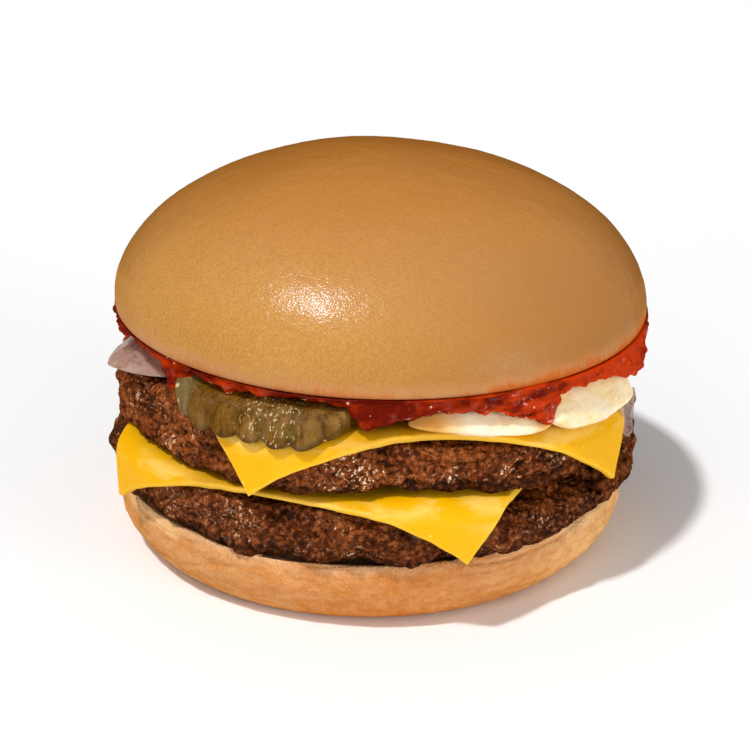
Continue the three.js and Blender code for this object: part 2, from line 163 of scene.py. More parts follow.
class BurgerStageSettings(PropertyGroup):
    """Strengths of the lights, floor and lens"""

    key: strength("Key", "Strength of the key light", 2.0)
    front: strength("Front", "Strength of the low light at the right", 1.95)
    fill: strength("Fill", "Strength of the front fill light", 0.6)
    top: strength("Top", "Strength of the wide overhead light", 0.7)
    left: strength("Left", "Strength of the small low light at the left", 0.36)
    sky: strength("Surroundings", "Strength of the pale surroundings", 0.12)
    floor: colour("Floor", "Colour of the floor", (0.97, 0.97, 0.97))
    lens: FloatProperty(name="Lens", description="Focal length in millimetres", default=84.26, min=1)


# ---- shape helpers: whole-array formulas ----


def smooth(low, high, value):
    """0 below low, 1 above high and 3t^2 - 2t^3 between them, also for low > high."""
    t = np.clip((value - low) / (high - low), 0, 1)
    return t * t * (3 - 2 * t)


def wrap(azimuth):
    """An azimuth brought into -180 to 180."""
    return (azimuth + 180) % 360 - 180


def zone(azimuth, rise, fall):
    """1 between two azimuths, with a smooth rise before and fall after them."""
    a = wrap(azimuth)
    return smooth(*rise, a) * (1 - smooth(*fall, a))


def bell(azimuth, centre, width):
    """exp(-(distance from centre / width)^2) round the circle."""
    return np.exp(-((wrap(azimuth - centre) / width) ** 2))


def lumps(azimuth, seed, size):
    """Slow lumps round a rim: sines of 3, 5, 8 and 13 waves with phases from the seed."""
    total = 0
    for k, waves in enumerate((3, 5, 8, 13)):
        total = total + np.sin(waves * azimuth * DEGREE + seed * (k + 1.7) * 2.399) / (1 + 0.45 * k)
    return size * 0.45 * total


def polar(radius, azimuth, z):
    """(r sin a, -r cos a, z) for arrays of radius, azimuth and z."""
    radius, azimuth, z = np.broadcast_arrays(radius, azimuth * DEGREE, z)
    return np.stack([radius * np.sin(azimuth), -radius * np.cos(azimuth), z], -1)


def azimuth_of(x, y):
    """The azimuth of a place in the plane."""
    return np.arctan2(x, -y) / DEGREE


def around(sectors):
    """The azimuths of a ring's points."""
    return np.arange(sectors) * 360 / sectors


def noise(points, seed):
    """Gradient noise, about -1 to 1: random slopes at whole-number points, blended by
    6t^5 - 15t^4 + 10t^3 along each axis."""
    random = np.random.default_rng(seed)
    order = np.tile(random.permutation(256), 3)
    slopes = random.normal(size=(256, 3))
    slopes /= np.linalg.norm(slopes, axis=1, keepdims=True)
    cell = np.floor(points).astype(int)
    inside = points - cell
    cell &= 255
    blend = inside**3 * (inside * (inside * 6 - 15) + 10)
    total = np.zeros(points.shape[:-1])
    for corner in np.ndindex(2, 2, 2):
        x, y, z = np.moveaxis(cell + corner, -1, 0)
        key = order[order[order[x] + y] + z]
        weight = np.prod(np.where(corner, blend, 1 - blend), axis=-1)
        total += weight * (slopes[key] * (inside - corner)).sum(-1)
    return total * 1.5


def billow(points, seed, octaves=3):
    """Noise summed over octaves, each twice as fine and half as strong."""
    return sum(noise(points * 2**k, seed + k) / 2**k for k in range(octaves))


def pebbles(points, seed):
    """Distance to the nearest of centres scattered one to a cell."""
    random = np.random.default_rng(seed)
    order = np.tile(random.permutation(256), 3)
    shift = random.random((256, 3))
    cell = np.floor(points).astype(int)
    nearest = np.full(points.shape[:-1], np.inf)
    for step in np.ndindex(3, 3, 3):
        there = cell + np.array(step) - 1
        k = there & 255
        centre = there + shift[order[order[order[k[..., 0]] + k[..., 1]] + k[..., 2]]]
        nearest = np.minimum(nearest, np.linalg.norm(points - centre, axis=-1))
    return nearest


def spline(controls, steps):
    """Catmull-Rom curve through controls (control, ..., 2), with steps[k] points from
    control k up to the next, and the last control at the end."""
    padded = np.concatenate([2 * controls[:1] - controls[1:2], controls, 2 * controls[-1:] - controls[-2:-1]])
    rows = []
    for k, count in enumerate(steps):
        t = np.arange(count).reshape(-1, *[1] * (controls.ndim - 1)) / count
        a, b, c, d = padded[k : k + 4]
        rows.append(b + t / 2 * (c - a + t * (2 * a - 5 * b + 4 * c - d + t * (3 * b - a - 3 * c + d))))
    rows.append(controls[-1:])
    return np.concatenate(rows)


def rows_of(rings):
    """Control points (ring, sector, 2) from a list of radius and height arrays."""
    return np.stack([np.stack(ring, -1) for ring in rings])


def ring_normals(grid):
    """Unit normals of a grid (ring, sector, xyz) whose sectors close: the cross product
    of the steps along a ring and from ring to ring."""
    along = np.roll(grid, -1, 1) - np.roll(grid, 1, 1)
    normal = np.cross(along, np.gradient(grid, axis=0))
    return normal / np.maximum(np.linalg.norm(normal, axis=-1, keepdims=True), 1e-9)


def make_mesh(name, points, quads, triangles, marks):
    """A smooth-shaded mesh object from millimetre points. marks are point attributes."""
    mesh = bpy.data.meshes.new(name)
    sizes = np.concatenate([np.full(len(quads), 4), np.full(len(triangles), 3)])
    corners = np.concatenate([np.ravel(quads), np.ravel(triangles)]).astype(np.int32)
    mesh.vertices.add(len(points))
    mesh.vertices.foreach_set("co", (points * MM).astype(np.float32).ravel())
    mesh.loops.add(len(corners))
    mesh.loops.foreach_set("vertex_index", corners)
    mesh.polygons.add(len(sizes))
    mesh.polygons.foreach_set("loop_start", (np.cumsum(sizes) - sizes).astype(np.int32))
    mesh.polygons.foreach_set("use_smooth", np.ones(len(sizes), bool))
    for mark, values in marks.items():
        attribute = mesh.attributes.new(mark, "FLOAT", "POINT")
        attribute.data.foreach_set("value", np.asarray(values, np.float32).ravel())
    mesh.update(calc_edges=True)
    if mesh.validate():
        raise RuntimeError(f"{name}: the mesh had faults")
    piece = bpy.data.objects.new(name, mesh)
    bpy.context.scene.collection.objects.link(piece)
    return piece


def round_faces(rings, sectors):
    """Quads between neighbouring rings, and fans to a first and a last single point."""
    j = np.arange(sectors)
    k = (j + 1) % sectors
    i = np.arange(rings - 1)[:, None] * sectors
    quads = np.stack([i + j, i + k, i + sectors + k, i + sectors + j], -1).reshape(-1, 4)
    first, last = rings * sectors, rings * sectors + 1
    end = (rings - 1) * sectors
    bottom = np.stack([np.full(sectors, first), k, j], -1)
    top = np.stack([np.full(sectors, last), end + j, end + k], -1)
    return quads, np.concatenate([bottom, top])


def round_body(name, grid, marks):
    """A closed body from a grid (ring, sector, xyz) that runs from near the bottom's
    centre out, up and back in. Each end closes on the middle of its ring."""
    quads, triangles = round_faces(*grid.shape[:2])
    points = np.concatenate([grid.reshape(-1, 3), grid[:1].mean(1), grid[-1:].mean(1)])
    closed = {
        mark: np.concatenate([values.ravel(), [values[0].mean()], [values[-1].mean()]])
        for mark, values in marks.items()
    }
    return make_mesh(name, points, quads, triangles, closed)


def sheet_body(name, lower, upper, marks):
    """A closed sheet from two grids (row, column, xyz) whose rims are one and the same.
    Both faces take the same marks."""
    rows, columns = lower.shape[:2]
    up = np.arange(rows * columns).reshape(rows, columns)
    down = up.copy()
    inner = (rows - 2) * (columns - 2)
    down[1:-1, 1:-1] = rows * columns + np.arange(inner).reshape(rows - 2, columns - 2)

    def quads(index):
        """Quads between neighbouring points of a grid of indices."""
        return np.stack([index[:-1, :-1], index[:-1, 1:], index[1:, 1:], index[1:, :-1]], -1).reshape(-1, 4)

    points = np.concatenate([upper.reshape(-1, 3), lower[1:-1, 1:-1].reshape(-1, 3)])
    closed = {}
    for mark, values in marks.items():
        values = np.broadcast_to(values, (rows, columns))
        closed[mark] = np.concatenate([values.ravel(), values[1:-1, 1:-1].ravel()])
    faces = np.concatenate([quads(up)[:, ::-1], quads(down)])
    return make_mesh(name, points, faces, np.zeros((0, 3), int), closed)


def edge_spaced(count, half, rounding, rim=5):
    """Positions from -half to half, with rim extra close lines inside each end's rounding,
    at rounding * (1 - cos t)."""
    close = rounding * (1 - np.cos(np.linspace(0, math.pi / 2, rim + 1)))[:-1]
    middle = np.linspace(-half + rounding, half - rounding, count)
    return np.concatenate([-half + close, middle, (half - close)[::-1]])


def rounded_edge(distance, rounding, power=2.4):
    """Share of the thickness at a distance from a cut edge: a superellipse quarter."""
    t = np.clip(1 - distance / rounding, 0, 1)
    return (1 - t**power) ** (1 / power)


# ---- how the stack lies ----

SAG_INNER, SAG_OUTER, SAG_POWER = 20, 48, 1.5
EXTRA_GAP = 0.5  # more room under a slice where the layers sag
OVERHANG = 1.5  # how much the upper patty's edge droops past the lower slice
LEFT_RISE = 0.8  # how much the upper patty's rim rises at the left
# how far the patties lie to the right, and how lumpy their outlines and sides are
PATTY_SHIFT, PATTY_LUMP, PATTY_BELLY = 0.9, 0.55, 0.5
# tone: the lower patty is painted darker than the upper, as the shade the upper layers cast on it; shine: how
# wet, and how many glints are painted
LOWER_PATTY = {"radius": 49.8, "seed": 3, "tone": 0.84, "shine": 0.44}
UPPER_PATTY = {"radius": 48.8, "seed": 11, "tone": 1.08, "shine": 0.74}
# where a slice starts to bend, counted in from the patty's rim, and how steep it gets
FOLD_INSET, FOLD_ANGLE = 2.6, 76 * DEGREE
# how far the crown lies to the right, and its rise per length towards +X
CROWN_SHIFT, CROWN_TILT = 1.96, -0.022
BULGE = 1.9  # how far the middle of a slice's front edge swells forward
CUT_ROUNDING = 0.5  # rounding of the cut edges of slices, pickle and onion scrap
# half: half the width. front, back: lengths ahead of and behind the axis. turn: azimuth of
# the front. sideways: shift. pinch: how thin the front edge's middle gets. soak: where
# sauce soaks in, as the azimuths of its rise and its fall
SLICES = {
    "lower": {
        "half": 37.0, "front": 46.0, "back": 35.5, "turn": -21.8, "sideways": 1.2, "pinch": 0.8,
        "soak": ((-44, -36), (-26, -14)),
    },
    "upper": {
        "half": 37.6, "front": 46.6, "back": 36.0, "turn": 15.2, "sideways": 0.8, "pinch": 0.2,
        "soak": ((-14, 2), (14, 32)),
    },
}


def patty_radius(patty, azimuth):
    """A patty's outline: its radius, more towards the right, with slow lumps."""
    return (
        patty["radius"] + PATTY_SHIFT * np.sin(azimuth * DEGREE) + lumps(azimuth, patty["seed"], PATTY_LUMP)
    )


class Stack:
    """Heights of the layers as functions of radius and azimuth, in millimetres."""

    def __init__(self, scene):
        sizes = scene.burger_stack
        self.gap = sizes.gap / MM
        self.slice = sizes.slice / MM
        self.heel_top = scene.burger_bun.heel_height / MM
        self.lower = sizes.lower_top / MM
        self.upper = sizes.upper_top / MM
        self.crown = sizes.crown_base / MM
        self.lower_sag = sizes.lower_sag / MM
        self.upper_sag = sizes.upper_sag / MM
        self.fold = scene.burger_cheese.fold_radius / MM

    def sag_at(self, radius):
        """((r - 20) / 28)^1.5, so the middle stays level and the rim sags most."""
        return np.maximum(0, (radius - SAG_INNER) / (SAG_OUTER - SAG_INNER)) ** SAG_POWER

    def sheet_gap(self, radius, azimuth):
        """Free space above and below a slice: more where the layers sag."""
        return self.gap + EXTRA_GAP * zone(azimuth, (-8, 10), (160, 178)) * self.sag_at(radius)

    def lower_top(self, radius, azimuth):
        """The lower patty's top: level, with a sag at the right."""
        a = wrap(azimuth)
        share = (1 - 0.45 * smooth(60, 88, a)) * zone(a, (5, 50), (95, 165))
        return self.lower - self.lower_sag * self.sag_at(radius) * share

    def upper_bottom(self, radius, azimuth):
        """The upper patty's underside: a slice and two gaps up, with an edge that overhangs."""
        beyond = smooth(43.5, SAG_OUTER, radius) * bell(azimuth, 72, 20)
        slice_room = self.slice + 2 * self.sheet_gap(radius, azimuth)
        return self.lower_top(radius, azimuth) + slice_room - OVERHANG * beyond

    def upper_top(self, radius, azimuth):
        """The upper patty's top: level, with a sag at the right and a rise at the left."""
        share = zone(azimuth, (2, 62), (92, 170))
        rise = LEFT_RISE * bell(azimuth, -62, 32)
        return self.upper + self.sag_at(radius) * (rise - self.upper_sag * share)

    def cheese_top(self, radius, azimuth):
        """The upper slice's top: a gap and a slice above its patty."""
        return self.upper_top(radius, azimuth) + self.sheet_gap(radius, azimuth) + self.slice

    def crown_underside(self, x):
        """The crown's cut face: a plane that falls towards +X."""
        return self.crown + CROWN_TILT * x

    def drape(self, reach, azimuth, patty, top_at, lift, middle):
        """A flat sheet's point laid over a patty: level out to the fold, round an arc of
        the fold radius, then straight on, 76 degrees below level. lift is the height above
        the patty, and lengths are kept at the height middle."""
        start = patty_radius(patty, azimuth) - FOLD_INSET
        level = np.minimum(reach, start)
        floor = top_at(level, azimuth) + self.sheet_gap(level, azimuth)
        beyond = np.maximum(0, reach - start)
        angle = np.minimum(FOLD_ANGLE, beyond / (self.fold + middle))
        straight = np.maximum(0, beyond - FOLD_ANGLE * (self.fold + middle))
        radius = self.fold + lift
        out = radius * np.sin(angle) + straight * math.cos(FOLD_ANGLE)
        down = radius * np.cos(angle) - self.fold - straight * math.sin(FOLD_ANGLE)
        return polar(level + out, azimuth, floor + down)


def slice_inside(plan, reach, azimuth):
    """Distance inside the edge of a flat slice, negative outside it."""
    a = (azimuth - plan["turn"]) * DEGREE
    u, w = reach * np.sin(a), reach * np.cos(a)
    ends = np.minimum(plan["front"] - w, plan["back"] + w)
    return np.minimum(plan["half"] - np.abs(u - plan["sideways"]), ends)


# ---- pieces ----

# points round each ring of a round piece
CROWN_SECTORS, HEEL_SECTORS, PATTY_SECTORS, SAUCE_SECTORS = 620, 640, 920, 980
# points from each control of a profile to the next
LIP_STEPS = (4, 10, 5, 3)
PATTY_STEPS = (1, 2, 14, 11, 6, 14, 14, 11, 26, 3, 1)
SAUCE_STEPS = (1, 2, 6, 9, 18, 8, 6, 10, 6, 3, 1)
# lines across and along a sheet, and rings of a sliver with the points round each
SLICE_LINES, PICKLE_LINES, SCRAP_LINES, SLIVER_LINES = (118, 126), (170, 84), (50, 60), (92, 48)
# radius and height of the points from the crown's cut face to its lip
CROWN_LIP = ((24, 0), (46.4, 0), (48.9, 0.15), (49.8, 0.6))
CROWN_WIDEST, CROWN_POWER, CROWN_RINGS = 1.25, 1.95, 118


def crown_grid(bun, stack):
    """Flat cut face and small lip, then a dome r = R cos(t)^(2/p), z = H sin(t)^(2/p),
    shifted and tilted as it rests, with slow dents and faint wrinkles."""
    radius, height = bun.crown_radius / MM, bun.crown_height / MM
    azimuth = around(CROWN_SECTORS)
    lip = spline(np.array([*CROWN_LIP, (radius, CROWN_WIDEST)], float), LIP_STEPS)
    t = np.linspace(0, 1, CROWN_RINGS)[:-1] * math.pi / 2
    dome_radius = radius * np.cos(t) ** (2 / CROWN_POWER)
    dome_height = CROWN_WIDEST + height * np.sin(t) ** (2 / CROWN_POWER)
    profile = np.concatenate([lip[:-1], np.stack([dome_radius, dome_height], -1)])
    grid = polar(profile[:, :1], azimuth, stack.crown + profile[:, 1:])
    normal = ring_normals(grid)
    dents = 0.35 * billow(grid / 26, 5, 2) + 0.05 * billow(grid / 2.6, 8, 2)
    share = smooth(0.4, 6, profile[:, 1:])
    grid = grid + normal * (dents * share)[..., None]
    grid[..., 0] += CROWN_SHIFT
    grid[..., 2] += CROWN_TILT * grid[..., 0]
    rise, a = np.broadcast_arrays(profile[:, 1:], azimuth)
    stain = 0.25 + 0.25 * zone(a, (-60, -30), (72, 90)) + 0.5 * zone(a, (8, 36), (74, 90))
    # Painted shade: the crown's right side, and a third as strongly its left side, take a darker crust where
    # less light falls.
    bake = zone(a, (-28, 42), (120, 165)) + 0.36 * zone(a, (-165, -120), (-84, -52))
    return grid, {"rise": rise, "stain": stain, "bake": bake}


# radii of the base and of the cut face, height of the widest ring, power of the lower side
HEEL_BASE, HEEL_TOP, HEEL_WIDEST, HEEL_POWER = 42.3, 47.9, 8, 1.565
HEEL_BASE_RINGS = (6, 16, 26, 34, 39, 41.5)
HEEL_CUT_RINGS = (47.2, 46.5, 45.6, 44.4, 43, 41, 38, 33, 26, 16, 6)


def heel_grid(bun):
    """A flat base, a side whose lower part is a superellipse quarter and upper part an
    ellipse quarter, and a cut face. The side is dented, creased and finely wrinkled, and
    the cut face is rough."""
    wide, height = bun.heel_radius / MM, bun.heel_height / MM
    azimuth = around(HEEL_SECTORS)
    low = HEEL_WIDEST * (1 - np.cos(np.linspace(0, math.pi / 2, 34)))
    t = (HEEL_WIDEST - low) / HEEL_WIDEST
    lower = HEEL_BASE + (wide - HEEL_BASE) * (1 - t**HEEL_POWER) ** (1 / HEEL_POWER)
    high = np.sin(np.linspace(0, math.pi / 2, 26))[1:]
    upper = HEEL_TOP + (wide - HEEL_TOP) * np.sqrt(np.maximum(0, 1 - high**2))
    rings = [(r, 0) for r in HEEL_BASE_RINGS]
    rings += list(zip(lower, low))
    rings += list(zip(upper, HEEL_WIDEST + (height - HEEL_WIDEST) * high))
    rings += [(r, height) for r in HEEL_CUT_RINGS]
    profile = np.array(rings, float)
    grid = polar(profile[:, :1], azimuth, profile[:, 1:])
    normal = ring_normals(grid)
    z, r = profile[:, 1:], profile[:, :1]
    side = smooth(0, 1.6, z) * smooth(44.5, 47.5, r)
    dents = 0.45 * billow(grid / (22, 22, 14), 21, 2) - 0.25
    wrinkles = 0.14 * billow(grid / (3.4, 3.4, 2.2), 31, 2)
    creases = -0.3 * smooth(0.12, 0, np.abs(noise(grid / (30, 30, 6.5), 44)))
    creases = creases - 0.16 * smooth(0.14, 0, np.abs(noise(grid / (13, 13, 4), 47)))
    grid = grid + normal * ((dents + wrinkles + creases) * side)[..., None]
    cut = smooth(12.2, 13, z) * smooth(47.6, 45.6, r)
    grid[..., 2] -= cut * (0.9 + 0.4 * np.abs(billow(grid / 4, 51, 2)))
    grid[..., 2] = np.maximum(grid[..., 2], 0)
    # Painted light: the heel's right side is laid pale and floury where the low light from the right falls; a
    # fainter share away from the front is flour.
    light = np.maximum(0.85 * zone(azimuth, (24, 56), (88, 110)), 0.32 * (1 - bell(azimuth, 3, 22)))
    cream = zone(azimuth, (-80, -66), (-52, -34)) * smooth(9.0, 11.6, z)
    rise, span, floury = np.broadcast_arrays(z, r, np.maximum(light, cream))
    return grid, {"rise": rise, "span": span, "floury": floury}


def patty_grid(patty, bottom_at, top_at, plan, meat):
    """A flat disc whose edge is a smooth curve through points set in from its radius, moved
    along its normals by lumps of ground meat. Under its slice and on its rest, where it
    has no room, the relief hardly rises."""
    azimuth = around(PATTY_SECTORS)
    edge = patty_radius(patty, azimuth)
    shoulder = edge - 2.6
    low, high = bottom_at(edge - 2, azimuth), top_at(edge - 2, azimuth)
    belly = lumps(azimuth, patty["seed"] + 5, PATTY_BELLY)

    def face(height_at, radii):
        """Controls along a face, at its heights."""
        return [(r + 0 * edge, height_at(r + 0 * edge, azimuth)) for r in radii]

    controls = face(bottom_at, (1, 20, 35, edge - 4.2))
    controls += [(edge - 1.1, low + 0.6), (edge - 0.2, low + 1.7), (edge + belly, (low + high) / 2)]
    controls += [(edge - 0.7, high - 1.7), (shoulder, top_at(shoulder, azimuth) - 0.15)]
    controls += face(top_at, (35, 20, 1))
    curve = spline(rows_of(controls), PATTY_STEPS)
    grid = polar(curve[..., 0], azimuth, curve[..., 1])
    normal = ring_normals(grid)
    spaces = np.linalg.norm(np.diff(grid, axis=0), axis=-1)
    reach = np.concatenate([np.cumsum(spaces[::-1], 0)[::-1], np.zeros((1, len(azimuth)))])
    relief, cavity = meat_relief(grid, patty["seed"] * 10, meat.grain / MM, meat.depth / MM)
    covered = slice_inside(plan, reach, azimuth) > -0.8
    resting = (curve[..., 0] < edge - 2.2) & (normal[..., 2] < -0.5)
    limit = np.where(covered | resting, 0.1, 3.0)
    relief = np.where(relief > limit, limit + 0.15 * (relief - limit).clip(0, 1), relief)
    visible = smooth(24, 36, curve[..., 0])
    grid = grid + normal * (relief * visible)[..., None]
    # Painted shade: the cavity is lowered over the lowest few millimetres, so the foot is painted dark as
    # seared meat and as the shade under the patty.
    sear = smooth(low + 4.2, low + 0.8, grid[..., 2])
    return grid, {"cavity": cavity * (1 - 0.66 * sear), "aside": 1 - bell(azimuth, 6, 34) + 0 * cavity}


def pillow(value, width):
    """Rounded cushions with a crease where value is 0: a quarter circle up to width."""
    rest = np.clip(1 - np.abs(value) / width, 0, 1)
    return np.sqrt(1 - rest * rest)


def meat_relief(points, seed, grain, depth):
    """Height of ground meat: slow lumps, bent strands of two sizes as cushions between
    creases, deeper pits and a fine grain. The second result is 0 in a crease and 1 on
    top of a strand."""
    bend = np.stack([noise(points / 4.5, seed + k) for k in range(3)], -1)
    bent = points + 0.9 * bend
    slow = billow(points / (9, 9, 5), seed + 4, 2)
    big = pillow(noise(bent / (grain, grain, grain * 0.7), seed + 7), 0.34)
    small = pillow(noise(bent / (grain * 0.42), seed + 9), 0.4)
    fine = noise(points / 0.62, seed + 12)
    pit = smooth(0.3, 0.75, noise(points / (4.2, 4.2, 3), seed + 15))
    height = slow * 2.6 + (big - 0.75) * 1.15 + (small - 0.75) * 0.5 + 0.13 * fine - 1.4 * pit
    cavity = np.clip(0.1 + 0.5 * big + 0.3 * small - 0.55 * pit + 0.42 * slow + 0.1 * fine, 0, 1)
    return depth * height, cavity


def slice_grids(stack, plan, patty, top_at):
    """A four-cornered slice laid over a patty: u across and w ahead, turned and draped, its
    faces closing on a rounded cut edge. It swells and dips a little over the meat."""
    u = edge_spaced(SLICE_LINES[0], plan["half"], CUT_ROUNDING)[None, :]
    span = (plan["front"] + plan["back"]) / 2
    ahead = edge_spaced(SLICE_LINES[1], span, CUT_ROUNDING)[:, None]
    across = u / plan["half"]
    edge = np.minimum(plan["half"] - np.abs(u), span - np.abs(ahead))
    waist = np.exp(-((across / 0.45) ** 2)) * smooth(0.55, 0.95, ahead / span)
    bulge = BULGE * (ahead / span) * (1 - across**2)
    w = ahead + (plan["front"] - plan["back"]) / 2 + bulge
    u, w = np.broadcast_arrays(u + plan["sideways"], w)
    ripple = 0.25 * noise(np.stack([u, w, 0 * u], -1) / 3.5, 71)
    melt = smooth(2.5, 0, edge)
    w = w + ripple * melt * 0.8
    reach, azimuth = np.hypot(u, w), plan["turn"] + azimuth_of(u, -w)
    middle = stack.slice / 2
    swell = 0.22 * billow(np.stack([u, w, 0 * u], -1) / 9, 64, 2).clip(-0.6, 1)
    half = middle * rounded_edge(edge, CUT_ROUNDING) * (1 - 0.55 * plan["pinch"] * waist)
    lower, upper = (
        stack.drape(reach, azimuth, patty, top_at, middle + side * half + 0.12 + swell, middle)
        for side in (-1, 1)
    )
    return lower, upper, {"edge": edge, "reach": reach, "soak": zone(azimuth, *plan["soak"])}


# azimuth, centre: place of the middle. reach: half the length outwards. turn: in its own
# plane. phase: shift of the ridges. ridge: half their height. scallop: waves of the rim
PICKLE = {
    "azimuth": -23.6, "centre": 39.8, "reach": 12.7, "turn": -4, "thickness": 2.4,
    "phase": 0.95, "ridge": 0.08, "scallop": 1.3,
}


def pickle_grids(stack, toppings):
    """An oval chip: chord sqrt(1 - |side|^4), its faces waved by the ridge height times
    1 + cos, its rim scalloped and rounded, laid on the slice and bent over its edge."""
    half, pitch = toppings.pickle_width / MM, toppings.pickle_pitch / MM
    skew = PICKLE["turn"] * DEGREE
    side = edge_spaced(PICKLE_LINES[0], 1, 0.03)[None, :]
    ahead = edge_spaced(PICKLE_LINES[1], 1, 0.06)[:, None]
    along = half * side * (1 - 0.03 * ahead**2)
    chord = np.maximum(0.12, np.sqrt(np.maximum(0, 1 - np.abs(side) ** 4)))
    ridge = math.pi * (along - PICKLE["phase"]) / pitch
    scallop = PICKLE["scallop"] * ahead**3 * (np.abs(np.cos(ridge)) - 0.6)
    out = PICKLE["reach"] * ahead * chord + scallop
    u = along * np.cos(skew) + out * np.sin(skew)
    w = PICKLE["centre"] - along * np.sin(skew) + out * np.cos(skew)
    reach, azimuth = np.hypot(u, w), PICKLE["azimuth"] + azimuth_of(u, -w)
    edge = np.minimum((1 - np.abs(ahead)) * chord * PICKLE["reach"], (1 - np.abs(side)) * half)
    flesh = np.stack([along, out, 0 * along], -1)
    seeds = 0.1 * noise(flesh / (1.1, 3.0, 1), 82) + 0.1 * noise(flesh / (0.7, 1.6, 1), 84)
    thickness = PICKLE["thickness"] * (1 - 0.4 * smooth(0.5, 1, ahead))
    base = stack.slice + 2 * stack.gap + PICKLE["ridge"] * (1 + np.cos(2 * ridge))
    middle = base + thickness / 2
    thick = thickness / 2 * rounded_edge(edge, CUT_ROUNDING, 2.0)
    raised = (1.3 + 1.0 * smooth(-0.55, -0.85, side)) * smooth(40, 45.5, reach) * smooth(52.5, 48, reach)
    top = middle + thick + (seeds + raised) * smooth(0, 1.5, edge)
    lower = stack.drape(reach, azimuth, UPPER_PATTY, stack.upper_top, middle - thick, middle)
    upper = stack.drape(reach, azimuth, UPPER_PATTY, stack.upper_top, top, middle)
    marks = {
        "rind": smooth(-0.62, -0.74, side),
        "valley": smooth(0.1, -0.9, np.cos(2 * ridge)),
        "clear": smooth(-0.15, 0.2, side),
        "spark": smooth(-0.2, 0.1, side) * smooth(0.65, 0.4, side),
        "edge": edge,
    }
    return lower, upper, marks


FULL_SIZE = 2.4  # half a section's length, below which a sliver thins


def sliver_grid(plan, foot, head, seed):
    """A body along the rim: at each azimuth a rounded section from a foot to a head point,
    thinner where these are close, shrinking to nothing at both ends, with shallow dents."""
    t = 0.5 - 0.5 * np.cos(np.linspace(0, math.pi, SLIVER_LINES[0])[1:-1])
    azimuth = (plan["from"] + (plan["to"] - plan["from"]) * t)[:, None]
    ends = np.abs(2 * t - 1)[:, None] ** 3 * np.sign(2 * t - 1)[:, None]
    taper = np.sqrt(1 - np.abs(2 * t - 1) ** plan["blunt"])[:, None]
    turn = np.linspace(0, 2 * math.pi, SLIVER_LINES[1], endpoint=False)[None, :]
    (foot_radius, foot_z), (head_radius, head_z) = foot(azimuth), head(azimuth)
    out, up = (head_radius - foot_radius) / 2, (head_z - foot_z) / 2
    size = np.hypot(out, up)
    power = plan.get("square", 1.0)
    cosine, sine = np.cos(turn), np.sin(turn)
    along = taper * np.sign(cosine) * np.abs(cosine) ** power
    wedge = 1 - plan.get("thin_foot", 0) * (0.5 - 0.5 * cosine) ** 1.5
    thickness = plan["thickness"] * np.minimum(1, size / FULL_SIZE) * wedge
    aside = thickness * taper * np.sign(sine) * np.abs(sine) ** power / (2 * size)
    slant = plan.get("slant", (0, 0))
    lean = np.where(ends < 0, slant[0], slant[1]) * along * np.abs(ends)
    radius = (foot_radius + head_radius) / 2 + along * out + aside * up
    z = (foot_z + head_z) / 2 + along * up - aside * out
    grid = polar(radius, azimuth + lean, z)
    normal = ring_normals(grid)
    dents = 0.2 * billow(grid / 4.2, seed, 2) + 0.05 * noise(grid / 0.9, seed + 3)
    grid = grid + normal * (dents * taper)[..., None]
    return grid, {"along": np.broadcast_to(t[:, None], grid.shape[:2])}


# from and to: azimuths of the ends. blunt: how square the ends are in plan. square: power
# of the section's cosine and sine. slant: how the ends lean. thin_foot: a thinner foot
LEFT_SLIVER = {"from": -88, "to": -51, "thickness": 2.6, "blunt": 2.2, "thin_foot": 0.8}
FRONT_SLIVER = {"from": 7.6, "to": 39.5, "thickness": 2.0, "blunt": 1.9, "square": 0.6, "slant": (1.4, 2.5)}
RIGHT_SLIVER = {"from": 36.9, "to": 70.5, "thickness": 2.8, "blunt": 14.0, "square": 0.6, "slant": (-0.8, 0)}
NEAR_EDGE = 46  # radius where the layers' heights under the slivers are taken
# radius and height above the layer of a foot and a head, and the point of the left foot
LEFT_FOOT, LEFT_HEAD, FRONT_FOOT, FRONT_HEAD = (46.4, 2.0), (38, 4.4), (49.8, 0.1), (46.6, 3.1)
LEFT_POINT = {"azimuth": -68, "half_angle": 15, "length": 5.0}
# azimuths and radii, then azimuths and heights, of the right-hand sliver's foot and head
RIGHT_FOOT_OUT = ((38, 50, 74), (51.6, 51.8, 51.0))
RIGHT_HEAD_OUT = ((38, 50, 74), (47.6, 47.8, 50.2))
RIGHT_FOOT = ((38, 43, 50, 58, 66, 70.5), (35.9, 34.3, 33.4, 33.0, 32.7, 32.3))
RIGHT_HEAD = ((38, 41, 46, 54, 62, 65.5, 68, 70.5), (39.9, 40.3, 40.2, 39.8, 38.4, 37.2, 35.4, 32.9))


